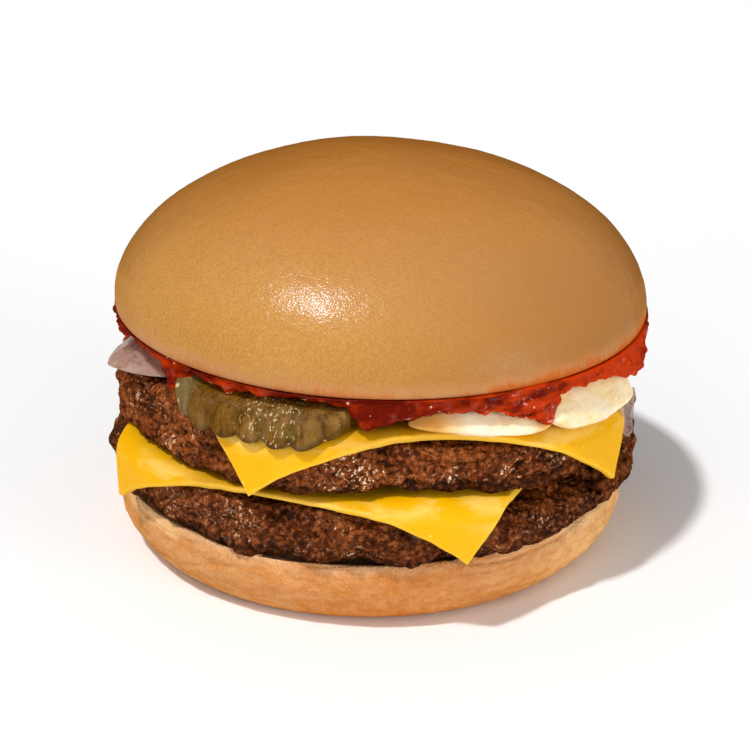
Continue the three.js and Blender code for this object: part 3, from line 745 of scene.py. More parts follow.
def onion_plans(stack):
    """The three slivers: where each runs, and the foot and head of its section as functions
    that give a radius and a height at an azimuth."""
    meat_rim, cheese_rim = stack.upper_top, stack.cheese_top

    def left_foot(a):
        peak = np.clip(1 - np.abs(a - LEFT_POINT["azimuth"]) / LEFT_POINT["half_angle"], 0, 1)
        radius = LEFT_FOOT[0] + LEFT_POINT["length"] * peak**0.85
        return radius, meat_rim(NEAR_EDGE, a) + LEFT_FOOT[1]

    def left_head(a):
        return LEFT_HEAD[0] + 0 * a, meat_rim(NEAR_EDGE, a) + LEFT_HEAD[1]

    def front_foot(a):
        return FRONT_FOOT[0] + 0.12 * np.maximum(0, a - 16), cheese_rim(NEAR_EDGE, a) + FRONT_FOOT[1]

    def front_head(a):
        return FRONT_HEAD[0] + 0 * a, cheese_rim(NEAR_EDGE, a) + FRONT_HEAD[1]

    def right_foot(a):
        return np.interp(a, *RIGHT_FOOT_OUT), np.interp(a, *RIGHT_FOOT)

    def right_head(a):
        return np.interp(a, *RIGHT_HEAD_OUT), np.interp(a, *RIGHT_HEAD)

    return {
        "onion_left": (LEFT_SLIVER, left_foot, left_head),
        "onion_front": (FRONT_SLIVER, front_foot, front_head),
        "onion_right": (RIGHT_SLIVER, right_foot, right_head),
    }


# azimuth, half_angle: place and half the width. radius, top, length: where it hangs
SCRAP = {"azimuth": 66.4, "half_angle": 4.8, "radius": 50.9, "top": 33.4, "length": 8.6, "thickness": 0.4}


def skin_grids():
    """A thin curled film of onion against the upper patty's side: wide at the top, its
    outline wavy and its lower end rolled outward."""
    side = edge_spaced(SCRAP_LINES[0], 1, 0.06)[None, :]
    down = edge_spaced(SCRAP_LINES[1], 0.5, 0.03)[:, None] + 0.5
    outline = (1 - 0.5 * down**2) * np.sqrt(np.maximum(0.03, 1 - (2 * down - 1) ** 6))
    sway = 0.4 * np.sin(7 * down + 2 * side)
    azimuth = SCRAP["azimuth"] + SCRAP["half_angle"] * outline * side + 0.4 * down + sway
    edge = np.minimum((1 - np.abs(side)) * 4 * outline, (0.5 - np.abs(down - 0.5)) * 12)
    curl = 0.2 * np.sin(math.pi * down) + 0.3 * np.abs(side) ** 3 + 0.6 * smooth(0.75, 1, down)
    radius = SCRAP["radius"] + curl + 0.12 * np.sin(14 * side + 3 * down)
    half = SCRAP["thickness"] / 2 * rounded_edge(edge, CUT_ROUNDING, 2.0)
    z = SCRAP["top"] - SCRAP["length"] * down + 0.5 * np.abs(side) ** 2
    return polar(radius - half, azimuth, z), polar(radius + half, azimuth, z), {"edge": edge}


# azimuth and height of the sauce's lower edge
SAUCE_EDGE = (
    (-180, 42.2), (-165, 41.8), (-152, 40.3), (-138, 42.2), (-120, 42.6), (-108, 41.6), (-96, 42.8),
    (-76, 43.4), (-62, 43.8), (-51, 43.5), (-47.5, 41.6), (-45.5, 40.2), (-43.5, 40.4), (-40, 43.8),
    (-36, 43.6), (-32.5, 42.9), (-31, 42.0), (-28, 43.2), (-24.5, 42.7), (-20, 43.4), (-13, 43.6),
    (-7, 43.2), (-4.5, 42.4), (-2.5, 40.2), (0, 39.2), (2, 39.7), (6, 40.7), (10, 41.2), (15, 41.8),
    (20, 41.6), (26, 40.4), (31, 38.7), (35, 37.4), (37, 37.0), (38.6, 38.8), (40.4, 41.0), (51, 40.7),
    (56, 40.0), (62, 38.6), (68, 37.0), (71, 37.2), (75, 38.8), (82, 39.6), (100, 41.0), (115, 41.6),
    (128, 40.4), (138, 39.6), (152, 41.5), (165, 42.4), (180, 42.2),
)
# how far the sauce is lifted over the pickle, the right-hand and front slivers and the wedge
PICKLE_LIFT, SLIVER_LIFT, WEDGE_LIFT = 3.9, 4.9, 3.1
THINNEST_SAUCE = 0.9


def ketchup_floor(stack, radius, azimuth):
    """The layer's underside: on the slice, lifted over the pickle and the onions."""
    x, y = radius * np.sin(azimuth * DEGREE), -radius * np.cos(azimuth * DEGREE)
    pickle_x, pickle_y, _ = polar(PICKLE["centre"], PICKLE["azimuth"], 0.0)
    near_pickle = 1 - smooth(20.5, 27, np.hypot(x - pickle_x, y - pickle_y))
    over_slivers = SLIVER_LIFT * smooth(34, 41, radius) * zone(azimuth, (-2, 5), (84, 92))
    over_wedge = WEDGE_LIFT * smooth(30, 36, radius) * zone(azimuth, (-100, -92), (-48, -42))
    lift = np.maximum(PICKLE_LIFT * near_pickle, np.maximum(over_slivers, over_wedge))
    cheese = stack.cheese_top(radius, azimuth) + stack.gap
    return np.minimum(cheese + lift, stack.crown_underside(x) - stack.gap - THINNEST_SAUCE)


def ketchup_grid(stack, sauce):
    """The sauce between toppings and crown: floor, rolled rim and top, with a rim that
    hangs lower in places and is lumpy where it has room."""
    azimuth = around(SAUCE_SECTORS)
    a = wrap(azimuth)
    aside = CROWN_SHIFT * np.sin(azimuth * DEGREE)
    hang = np.interp(a, *zip(*SAUCE_EDGE)) + 0.35 * billow(polar(40, azimuth, 0.0) / 3.2, 91, 2)
    flush = sauce.radius / MM + aside - 0.55 * zone(a, (-74, -62), (2, 22))
    edge = flush - 0.25 * aside + lumps(azimuth, 7, 0.25) + 0.25 * (43 - hang)

    def top(radius):
        """The layer's top: a gap under the crown's face and lip."""
        lip = np.interp(radius - aside, *zip(*CROWN_LIP[1:]))
        return stack.crown_underside(radius * np.sin(azimuth * DEGREE)) + lip - stack.gap

    rings = [(r + 0 * edge, ketchup_floor(stack, r, azimuth)) for r in (2.0, 20.0, 28.0, 36.0, 42.5)]
    rings += [(edge - 1.6, hang), (edge - 0.3, hang + 0.5), (edge, hang + 1.1), (flush, top(flush) + 0.1)]
    rings += [(r + 0 * edge, top(r)) for r in (flush - 1.2, 28.0, 2.0)]
    curve = spline(rows_of(rings), SAUCE_STEPS)
    grid = polar(curve[..., 0], azimuth, curve[..., 1])
    normal = ring_normals(grid)
    radius = np.hypot(grid[..., 0], grid[..., 1])
    near = pebbles(grid / (3.4, 3.4, 2.4), 95)
    blobs = 0.8 * (0.55 - near) + 0.55 * billow(grid / 1.9, 97, 2)
    room = smooth(0.0, 1.2, stack.crown_underside(grid[..., 0]) - stack.gap - grid[..., 2])
    grid = grid + normal * (blobs * smooth(40, 45, radius) * room)[..., None]
    side = 0.55 * zone(a, (16, 27), (60, 84)) + 0.35 * zone(a, (38, 46), (60, 80))
    side = side + 0.25 * zone(a, (-62, -48), (-26, -14)) + 0.35 * zone(a, (48, 62), (78, 90))
    low = smooth(1.0, 0.1, grid[..., 2] - hang)
    high = smooth(1.3, 0.2, top(flush) - grid[..., 2])
    return grid, {"thin": side + 0.3 * low + 0.15 * high, "low": low}


# ---- materials ----

# touches of colour on top of the settings' colours, as linear values
STAINED_CRUST, SOAKED_CRUST = (0.5, 0.17, 0.035), (0.5, 0.1, 0.012)
# toast on the heel's cut face, painted dark as the shade in the gap under the patty
TOASTED, WELL_TOASTED = (0.3, 0.15, 0.06), (0.09, 0.032, 0.01)
LIGHT_MEAT, MEAT_GLINT = (0.42, 0.125, 0.036), (1.0, 0.76, 0.52)
# the first is a highlight painted along a slice's bend; the second darkens a slice inwards, under meat and
# sauce
CREAMY, GREASY, SAUCED = (1.0, 0.7, 0.2), (0.58, 0.3, 0.012), (0.5, 0.23, 0.004)
CHEESE_CRUMB, CUT_CHEESE = (1.0, 0.66, 0.16), (1.0, 0.66, 0.1)
# the second is painted on the pickle as glints
GREEN_FLESH, PICKLE_GLINT = (0.13, 0.1, 0.008), (0.78, 0.66, 0.36)
# the last two are a glint colour painted on the onions and an emission glow painted in as light
MILKY, ONION_GLINT, ONION_GLOW = (0.96, 0.84, 0.72), (1.0, 0.93, 0.8), (1.0, 0.76, 0.42, 1.0)
COOL_SHINE = (0.76, 0.9, 1.0, 1.0)

Socket = bpy.types.NodeSocket


def wire(made, key, value):
    """Links an output into an input, or sets the input to a number, vector or colour."""
    if isinstance(value, Socket):
        made.id_data.links.new(value, made.inputs[key])
    else:
        made.inputs[key].default_value = value


def node(tree, kind, **values):
    """Adds a shader node. Keys that start small are properties, which are set first;
    the others are inputs, with _ for a space."""
    made = tree.nodes.new(kind)
    for key in (key for key in values if key[0].islower()):
        setattr(made, key, values[key])
    for key in (key for key in values if not key[0].islower()):
        wire(made, key.replace("_", " "), values[key])
    return made


def joined(kind, *values, **properties):
    """The first output of a new node whose inputs take the values in order. It goes into
    the tree of the first output among them."""
    tree = next(value.id_data for value in values if isinstance(value, Socket))
    made = node(tree, kind, **properties)
    for index, value in enumerate(values):
        wire(made, index, value)
    return made.outputs[0]


def times(first, second):
    """The product of two outputs, or of an output and a number."""
    return joined("ShaderNodeMath", first, second, operation="MULTIPLY")


def plus(first, second):
    """The sum of two outputs, or of an output and a number."""
    return joined("ShaderNodeMath", first, second, operation="ADD")


def minus(first, second):
    """The first less the second, each an output or a number."""
    return joined("ShaderNodeMath", first, second, operation="SUBTRACT")


def larger(first, second):
    """The larger of two outputs."""
    return joined("ShaderNodeMath", first, second, operation="MAXIMUM")


def ramp(value, low, high, to_low=0.0, to_high=1.0):
    """Maps an output from low..high to to_low..to_high, smoothly and clamped."""
    return joined("ShaderNodeMapRange", value, low, high, to_low, to_high, interpolation_type="SMOOTHSTEP")


def mix(mask, first, second):
    """A colour mix by a mask; first and second are colours or outputs."""
    made = node(mask.id_data, "ShaderNodeMix", data_type="RGBA")
    wire(made, 0, mask)
    for index, value in ((6, first), (7, second)):
        wire(made, index, value if isinstance(value, Socket) else (*value, 1))
    return made.outputs[2]


def paint(base, *coats):
    """Lays coats, each a mask and a colour, over a base colour one after the other."""
    for mask, coat in coats:
        base = mix(mask, base, coat)
    return base


def shade(tone, share):
    """A colour times one share, or times a share for each of red, green and blue."""
    return np.multiply(tone, share)


def mottle(group, given):
    """Cloudy patches of several sizes, as a 0 to 1 mask."""
    clouds = node(
        group, "ShaderNodeTexNoise", Vector=given["Vector"], Scale=given["Scale"], Detail=4.0, Roughness=0.6
    )
    spread = times(minus(clouds.outputs[0], 0.5), given["Contrast"])
    return [joined("ShaderNodeClamp", plus(spread, 0.5))]


def pores(group, given):
    """Fine skin: dimples between raised cells with a grainy noise over them, and a mask
    that is 0 in sparser pits."""
    place, scale = given["Vector"], given["Scale"]
    cells = node(group, "ShaderNodeTexVoronoi", feature="SMOOTH_F1", Vector=place, Scale=scale)
    finer = times(scale, 1.7)
    grain = node(group, "ShaderNodeTexNoise", Vector=place, Scale=finer, Detail=1.0, Roughness=0.5)
    height = plus(cells.outputs["Distance"], times(grain.outputs[0], given["Grain"]))
    pits = node(group, "ShaderNodeTexVoronoi", Vector=place, Scale=times(scale, 0.33))
    return [height, ramp(pits.outputs["Distance"], 0.05, 0.3)]


def grains(group, given):
    """Rounded grains: a dome in every cell of a bent cell pattern."""
    place, scale = given["Vector"], given["Scale"]
    wander = node(group, "ShaderNodeTexNoise", Vector=place, Scale=times(scale, 0.35), Detail=1.0)
    centred = joined("ShaderNodeVectorMath", wander.outputs["Color"], (0.5, 0.5, 0.5), operation="SUBTRACT")
    pushed = node(group, "ShaderNodeVectorMath", operation="SCALE", Scale=given["Bend"])
    wire(pushed, 0, centred)
    bent = joined("ShaderNodeVectorMath", pushed.outputs[0], place, operation="ADD")
    cells = node(group, "ShaderNodeTexVoronoi", Vector=bent, Scale=scale).outputs["Distance"]
    return [minus(1.0, times(cells, cells))]


def flecks(group, given):
    """Scattered round flecks of mixed sizes: a spot in a share of the cells."""
    cells = node(group, "ShaderNodeTexVoronoi", Vector=given["Vector"], Scale=given["Scale"]).outputs
    pick = node(group, "ShaderNodeSeparateColor", Color=cells["Color"]).outputs
    chosen = joined("ShaderNodeMath", pick[0], given["Share"], operation="LESS_THAN")
    reach = times(given["Size"], plus(pick[1], 0.5))
    return [times(chosen, ramp(minus(reach, cells["Distance"]), 0, 0.1))]


# each group's filling function, its numbers besides the vector, and its results
GROUPS = {
    "Mottle": (mottle, {"Scale": 100.0, "Contrast": 1.0}, ["Mask"]),
    "Pores": (pores, {"Scale": 1500.0, "Grain": 0.5}, ["Height", "Pits"]),
    "Grains": (grains, {"Scale": 900.0, "Bend": 0.0006}, ["Height"]),
    "Flecks": (flecks, {"Scale": 900.0, "Size": 0.2, "Share": 0.5}, ["Mask"]),
}


def shared_group(name):
    """The shader node group of this name, which is built when it is first asked for."""
    if name in bpy.data.node_groups:
        return bpy.data.node_groups[name]
    fill, numbers, results = GROUPS[name]
    group = bpy.data.node_groups.new(name, "ShaderNodeTree")
    group.interface.new_socket("Vector", in_out="INPUT", socket_type="NodeSocketVector")
    for label, number in numbers.items():
        socket = group.interface.new_socket(label, in_out="INPUT", socket_type="NodeSocketFloat")
        socket.default_value = number
    for label in results:
        group.interface.new_socket(label, in_out="OUTPUT", socket_type="NodeSocketFloat")
    made = fill(group, group.nodes.new("NodeGroupInput").outputs)
    node(group, "NodeGroupOutput", **dict(zip(results, made)))
    return group


class Finish:
    """A material being built: its tree, object coordinates and Principled shader."""

    def __init__(self, name, **inputs):
        self.material = bpy.data.materials.new(name)
        self.material.use_nodes = True
        self.tree = self.material.node_tree
        self.shader = self.tree.nodes["Principled BSDF"]
        self.place = node(self.tree, "ShaderNodeTexCoord").outputs["Object"]
        self.set(**inputs)

    def set(self, **inputs):
        """Wires the shader's inputs; a _ in a key stands for a space."""
        for key, value in inputs.items():
            wire(self.shader, key.replace("_", " "), value)

    def mark(self, name):
        """The value of a point attribute of the piece."""
        return node(self.tree, "ShaderNodeAttribute", attribute_name=name).outputs["Fac"]

    def squashed(self, squash):
        """Object coordinates times a share along each axis."""
        return node(self.tree, "ShaderNodeMapping", Vector=self.place, Scale=squash).outputs[0]

    def clouds(self, scale, detail, roughness=0.5, squash=None):
        """Plain noise of 0 to 1."""
        place = self.squashed(squash) if squash else self.place
        return node(
            self.tree, "ShaderNodeTexNoise", Vector=place, Scale=scale, Detail=detail, Roughness=roughness
        ).outputs[0]

    def group(self, name, place=None, **values):
        """The outputs of a shared group that is placed here with its own values."""
        return node(
            self.tree, "ShaderNodeGroup", node_tree=shared_group(name), Vector=place or self.place, **values
        ).outputs

    def mottle(self, scale, contrast, squash=(1, 1, 1)):
        """The mask of cloudy patches."""
        return self.group("Mottle", self.squashed(squash), Scale=scale, Contrast=contrast)["Mask"]

    def flecks(self, scale, size, share):
        """The mask of scattered flecks."""
        return self.group("Flecks", Scale=scale, Size=size, Share=share)["Mask"]

    def bump(self, height, distance, strength=1.0, before=None):
        """A normal bent by a height times a distance in millimetres, on top of the bump
        before it."""
        made = node(self.tree, "ShaderNodeBump", Height=height, Distance=distance * MM, Strength=strength)
        if before:
            wire(made, "Normal", before)
        return made.outputs[0]

    def gloss(self, level):
        """A specular level that fades out where the surface is seen edge-on, so that no
        pale haze lies on the rims. Gives back how edge-on it is, 0 to 1."""
        edge_on = node(self.tree, "ShaderNodeLayerWeight", Blend=0.5).outputs["Facing"]
        self.set(Specular_IOR_Level=times(ramp(edge_on, 0.3, 0.72, 1, 0), level))
        return edge_on


def crust_finish(bun, name, base, dark_top):
    """Baked crust: tan with slow, fine and grainy clouds, browner where dark_top says, and
    pores. Gives the finish, the crust's colour, the pores' height and the rise."""
    finish = Finish(name, Specular_Tint=COOL_SHINE)
    rise, skin = finish.mark("rise"), finish.group("Pores", Scale=2500.0, Grain=0.8)
    crust = paint(
        base,
        (finish.mottle(42, 2.2), shade(base, 0.9)),
        (finish.mottle(380, 2.6), shade(base, 0.88)),
        (ramp(finish.mottle(2300, 4.6), 0, 1, 0.8, 0), shade(base, 0.7)),
        (ramp(rise, *dark_top), bun.crust_dark),
        (ramp(skin["Pits"], 0, 1, 0.12, 0), shade(bun.crust_dark, 0.7)),
    )
    return finish, crust, skin["Height"], rise


def crown_finish(bun):
    """The crown: crust painted darker on its sides and rims as shade, down to a paler lip that
    sauce has stained, and a crumb face."""
    finish, crust, skin, rise = crust_finish(bun, "Domed crust", bun.crust, (9, 29, 0, 0.56))
    lip = ramp(plus(rise, times(finish.mottle(110, 2.5), 2.2)), 1.6, 5.2, 0.8, 0)
    edge_on = times(finish.gloss(ramp(rise, 7, 18, 0.06, 0.46)), ramp(rise, 2, 9))
    # Painted shade: the crust darkens where it is seen edge-on, and a little towards the lip.
    rim = larger(ramp(edge_on, 0.45, 0.98, 0, 0.55), ramp(rise, 15, 3, 0, 0.12))
    stain = finish.mark("stain")
    hairs = times(finish.clouds(1400.0, 3.0, 0.6, (1, 1, 0.25)), 3.4)
    spread = plus(hairs, ramp(finish.mottle(150, 3.0), 0, 1, -0.9, 0.7))
    reach = minus(plus(rise, spread), times(stain, 1.3))
    finish.set(
        Base_Color=paint(
            crust,
            # painted shade on the crown's right and left sides
            (times(finish.mark("bake"), ramp(rise, 27, 12, 0.12, 0.9)), bun.crust_side),
            (lip, bun.crust_pale),
            # painted shade on the rims and low on the dome
            (rim, shade(bun.crust_dark, 0.35)),
            (ramp(rise, 0.5, 0.05), bun.crumb),
            (times(ramp(reach, 1.3, 4.6, 0.95, 0), stain), STAINED_CRUST),
            (times(ramp(reach, 1.0, 2.6, 0.9, 0), stain), SOAKED_CRUST),
        ),
        Normal=finish.bump(skin, 0.055, 0.8, finish.bump(finish.clouds(360.0, 2.0), 0.07, 0.6)),
        Roughness=ramp(finish.mottle(240, 2), 0, 1, 0.16, 0.24),
    )
    return finish.material


def heel_finish(bun):
    """The heel: a mottled, floury crust, paler on its right side as painted light, browner at
    the foot, and a toasted cut face painted dark as the shade under the patty.
    """
    finish, crust, skin, rise = crust_finish(bun, "Heel crust", bun.heel_crust, (5.0, 0.4, 0, 0.4))
    finish.gloss(0.3)
    patch = finish.mottle(75, 3.2, (1, 1, 2.2))
    streaks = finish.mottle(260, 3.4, (1, 1, 2.4))
    floury = finish.mark("floury")
    spots = times(finish.flecks(240.0, 0.13, 0.3), ramp(rise, 9, 3, 0, 0.5))
    face = times(ramp(finish.mark("span"), 47.2, 46.2), ramp(rise, 11.5, 12.6))
    finish.set(
        Base_Color=paint(
            crust,
            (ramp(finish.mottle(150, 3.4, (1, 1, 3.2)), 0.45, 0.95, 0, 0.55), bun.crust_dark),
            (times(patch, 0.2), bun.heel_pale),
            (times(streaks, 0.44), bun.heel_pale),
            (ramp(finish.mottle(800, 3.6), 0.2, 0.9, 0.0, 0.5), bun.crust_dark),
            # powder over flour, and painted light on the heel's right side
            (times(floury, ramp(streaks, 0, 1, 0.5, 1.0)), bun.powder),
            (spots, shade(bun.crust_dark, 0.5)),
            (ramp(plus(rise, times(patch, 3.5)), 11.9, 15.8, 0, 0.55), bun.crumb),
            # Painted shade: the cut face under the patty is toasted and darkened as the shade in the gap.
            (times(face, ramp(floury, 0, 0.5, 1, 0)), mix(finish.mottle(330, 2.4), TOASTED, WELL_TOASTED)),
        ),
        Normal=finish.bump(skin, 0.2, 1.0, finish.bump(finish.clouds(420.0, 4.0, 0.6), 0.6)),
        Roughness=ramp(patch, 0, 1, 0.5, 0.68),
    )
    return finish.material


def meat_finish(meat, name, tone, shine):
    """Ground beef: brown with warm and seared patches, creases and foot painted dark as shade,
    lighter warm sides painted as light, light specks, melted fat specks that are partly
    painted glints, and painted glints. tone is how light the meat is, lower for the patty
    that lies in shade, and shine how wet it is and how many glints are painted."""
    finish = Finish(name, Coat_IOR=1.7, Coat_Roughness=0.15)
    edge_on = finish.gloss(0.05)
    cavity, aside = finish.mark("cavity"), finish.mark("aside")
    pink, speck = shade(meat.pink, tone), finish.mottle(1000, 3.4)
    beads = plus(finish.mottle(1400, 4.5), times(finish.mottle(130, 3.4), 0.5))
    wet = times(ramp(beads, 1.12, 1.4), ramp(cavity, 0.25, 0.55))
    glint = times(ramp(beads, 1.3, 1.45), times(wet, ramp(aside, 0, 1, 1.1 * shine, 0.45 * shine)))
    domes = finish.bump(finish.group("Grains", Scale=1000.0, Bend=0.0007)["Height"], 0.3)
    finish.set(
        Base_Color=paint(
            shade(meat.browned, tone),
            (ramp(finish.mottle(140, 3.0), 0.35, 0.8), pink),
            # Painted light: lighter, warmer brown away from the front, on the sides that catch the light.
            (times(aside, 0.5), shade(pink, 1.35)),
            (ramp(finish.mottle(95, 3.0, (1, 1, 1.6)), 0.5, 0.9, 0, 0.8), meat.seared),
            (ramp(speck, 0.5, 0.05, 0, 0.74), shade(meat.seared, 0.4)),
            (ramp(speck, 0.55, 1.0, 0, 0.64), shade(LIGHT_MEAT, tone)),
            # painted shade in the creases and at the foot
            (ramp(cavity, 0.6, 0.1, 0, 0.85), shade(meat.seared, 0.45)),
            # fat specks, partly painted glints
            (times(wet, 0.5 * shine), meat.fat),
            (glint, MEAT_GLINT),
        ),
        Normal=finish.bump(finish.clouds(1150.0, 1.5), 0.4, 1.0, domes),
        Roughness=ramp(finish.mottle(330, 3.4), 0.2, 0.8, 0.5, 0.3),
        Coat_Weight=times(wet, ramp(edge_on, 0.9, 0.5, 0, shine)),
        Coat_Normal=domes,
    )
    return finish.material


def cheese_finish(name, tone):
    """Processed cheese: saturated yellow, with a highlight painted along the bend, darker golden
    inwards under the sauce and the meat, lighter on the cut edge and softly glossy."""
    finish = Finish(
        name, Subsurface_Weight=0.12, Subsurface_Scale=0.001, Subsurface_Radius=(1.0, 0.6, 0.1)
    )
    finish.gloss(0.14)
    reach = finish.mark("reach")
    bend = times(ramp(reach, 46.5, 49.5), ramp(reach, 53.0, 50.5))
    creamy = times(bend, ramp(finish.mottle(190, 3.0, (0.5, 0.5, 2.0)), 0.3, 0.9, 0, 0.45))
    # darker golden inwards from a reach of 49 mm, where the slice runs in under the meat and sauce
    greasy = times(ramp(reach, 49.0, 45.5), ramp(finish.mottle(260, 3.0), 0.2, 0.8, 0.35, 0.85))
    finish.set(
        Base_Color=paint(
            tone,
            (ramp(finish.mottle(70, 2.4), 0, 1, 0, 0.5), shade(tone, (0.97, 0.9, 1))),
            # painted highlight along the bend
            (creamy, CREAMY),
            (greasy, GREASY),
            (times(finish.mark("soak"), 0.6), SAUCED),
            (times(finish.flecks(700.0, 0.18, 0.12), 0.5), CHEESE_CRUMB),
            (ramp(finish.mark("edge"), 0.75, 0.15, 0, 0.3), CUT_CHEESE),
        ),
        Normal=finish.bump(finish.clouds(240.0, 4.0, 0.55), 0.3, 0.7),
        Roughness=ramp(finish.mottle(180, 2.8), 0, 1, 0.27, 0.45),
    )
    return finish.material


def pickle_finish(toppings):
    """Pickle: olive flesh, greyer on its clear half, with fibres, green patches, darker
    furrows and rim, a streaked rind, and pale wet specks painted as glints."""
    finish = Finish(
        "Pickle", Coat_IOR=1.6, Coat_Roughness=0.08,
        Subsurface_Weight=0.15, Subsurface_Scale=0.001, Subsurface_Radius=(0.6, 0.8, 0.2),
    )
    edge_on = finish.gloss(0.1)
    flesh, rind, sparkling = toppings.flesh, toppings.rind, finish.mark("spark")
    fibres = finish.mottle(230, 3.2, (3.0, 3.0, 0.6))
    crystals = finish.flecks(800.0, 0.2, ramp(sparkling, 0, 1, 0.03, 0.08))
    glitter = plus(finish.mottle(1300, 4.5, (1.5, 1.5, 0.8)), times(sparkling, 0.12))
    specks = larger(larger(finish.flecks(300.0, 0.14, 0.3), crystals), ramp(glitter, 0.98, 1.16))
    film = larger(specks, ramp(fibres, 0.5, 0.8, 0.03, 0.3))
    wet = finish.bump(fibres, 0.25, 0.8, finish.bump(finish.clouds(800.0, 2.0), 0.2, 0.8))
    finish.set(
        Base_Color=paint(
            flesh,
            (ramp(finish.mark("clear"), 0, 1, 0, 0.6), toppings.clear),
            (finish.mottle(210, 3.0), shade(flesh, 0.6)),
            (ramp(finish.mottle(330, 3.4), 0.6, 1.0, 0, 0.45), GREEN_FLESH),
            (ramp(fibres, 0.5, 1.0, 0, 0.3), shade(rind, 1.5)),
            (ramp(fibres, 0.45, 0.0, 0, 0.7), shade(flesh, 0.25)),
            (times(finish.mark("valley"), 0.2), shade(flesh, 0.3)),
            (ramp(finish.mark("edge"), 1.1, 0.2, 0, 0.6), shade(flesh, 0.35)),
            (finish.mark("rind"), mix(ramp(fibres, 0.3, 0.8, 0, 0.6), rind, shade(rind, 1.6))),
            # pale specks painted as glints
            (times(specks, 0.75), PICKLE_GLINT),
        ),
        Normal=wet,
        Roughness=ramp(finish.mottle(400, 3), 0, 1, 0.3, 0.5),
        Coat_Weight=times(film, ramp(edge_on, 0.8, 0.4)),
        Coat_Normal=wet,
    )
    return finish.material


def onion_finish(name, tone, clear, soaked=None, glow=0.0):
    """Raw onion: milky and translucent, faintly ribbed and veined, with wet specks painted pale
    as glints and a glow painted in as light; with a soaked colour, its ends take it up and one end thins out."""
    finish = Finish(
        name, Roughness=0.25, Specular_IOR_Level=0.35, Coat_IOR=1.6, Coat_Roughness=0.06,
        Subsurface_Weight=0.5, Subsurface_Scale=0.002, Subsurface_Radius=(1.0, 0.85, 0.6),
        Transmission_Weight=clear, Emission_Color=ONION_GLOW, Emission_Strength=glow,
    )
    ribs = finish.mottle(240, 3.0, (0.7, 0.7, 3.0))
    veins = ramp(finish.mottle(620, 3.8, (0.5, 0.5, 2.2)), 0.35, 0.05, 0, 0.14 + clear)
    specks = finish.flecks(520.0, 0.22, ramp(finish.mottle(160, 3.6), 0.5, 0.9, 0.02, 0.7))
    flesh = paint(
        tone,
        (ramp(ribs, 0.3, 0.9, 0, 0.5), shade(tone, (0.96, 0.86, 0.66))),
        (veins, shade(tone, (0.5, 0.42, 0.34))),
        (ramp(finish.mottle(170, 3.0), 0.4, 0.9, 0, 0.5), MILKY),
        (times(specks, 0.6), ONION_GLINT),
    )
    if soaked:
        along = finish.mark("along")
        ends = larger(ramp(along, 0.44, 0.14, 0, 0.95), ramp(along, 0.74, 0.92, 0, 0.9))
        flesh = mix(ends, flesh, soaked)
        finish.set(Alpha=ramp(along, 0.26, 0.0, 1, 0.5))
    finish.set(Base_Color=flesh, Coat_Weight=specks, Normal=finish.bump(ribs, 0.12, 0.7))
    return finish


def ketchup_finish(sauce):
    """Ketchup: deep glossy red, more orange where it is thin or pulpy, with bright beads painted as glints.
    """
    finish = Finish("Ketchup", Coat_IOR=1.6, Coat_Roughness=0.05)
    edge_on = finish.gloss(0.04)
    pulpy = plus(finish.mark("thin"), ramp(finish.mottle(360, 3.0, (0.6, 0.6, 1.6)), 0, 1, -0.45, 0.32))
    fine = plus(finish.mottle(900, 4.4), ramp(finish.mark("low"), 0, 1, 0, 0.25))
    beads = larger(ramp(fine, 1.06, 1.22), finish.flecks(800.0, 0.2, 0.1))
    shine = larger(beads, ramp(finish.mottle(300, 3.6), 0.7, 0.95, 0, 0.3))
    finish.set(
        Base_Color=paint(
            sauce.ketchup,
            (ramp(finish.mottle(150, 3.0), 0.5, 0.95, 0, 0.35), sauce.thin),
            (ramp(pulpy, 0.0, 0.95), sauce.thin),
            # painted glints on the beads
            (times(beads, 0.6), sauce.gleam),
        ),
        Normal=finish.bump(finish.clouds(700.0, 4.0, 0.6), 0.25, 0.7),
        Roughness=ramp(finish.mottle(320, 3), 0, 1, 0.1, 0.3),
        Coat_Weight=times(shine, ramp(edge_on, 0.8, 0.4)),
    )
    return finish.material


# ---- operators ----


def dress(piece, material, node_name):
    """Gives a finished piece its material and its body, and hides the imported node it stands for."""
    piece.data.materials.append(material)
    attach(piece, "root")
    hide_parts(node_name)
    return piece


class BURGER_OT_crown(Operator):
    """Build the bun crown"""

    bl_idname = "burger.crown"
    bl_label = "Crown"

    def execute(self, context):
        bun = context.scene.burger_bun
        grid, marks = crown_grid(bun, Stack(context.scene))
        dress(round_body("bun_crown", grid, marks), crown_finish(bun), "crown")
        return {"FINISHED"}


class BURGER_OT_heel(Operator):
    """Build the bun heel"""

    bl_idname = "burger.heel"
    bl_label = "Heel"

    def execute(self, context):
        bun = context.scene.burger_bun
        grid, marks = heel_grid(bun)
        dress(round_body("bun_heel", grid, marks), heel_finish(bun), "heel")
        return {"FINISHED"}


class BURGER_OT_patties(Operator):
    """Build both beef patties"""

    bl_idname = "burger.patties"
    bl_label = "Patties"

    def execute(self, context):
        stack, meat = Stack(context.scene), context.scene.burger_meat

        def heel_top(radius, azimuth):
            """The level a gap above the heel's cut face."""
            return stack.heel_top + stack.gap + 0 * radius * azimuth

        layers = {
            "lower": (LOWER_PATTY, heel_top, stack.lower_top),
            "upper": (UPPER_PATTY, stack.upper_bottom, stack.upper_top),
        }
        for name, (patty, bottom_at, top_at) in layers.items():
            grid, marks = patty_grid(patty, bottom_at, top_at, SLICES[name], meat)
            finish = meat_finish(meat, f"{name.capitalize()} beef", patty["tone"], patty["shine"])
            dress(round_body(f"beef_{name}", grid, marks), finish, f"patty_{name}")
        return {"FINISHED"}


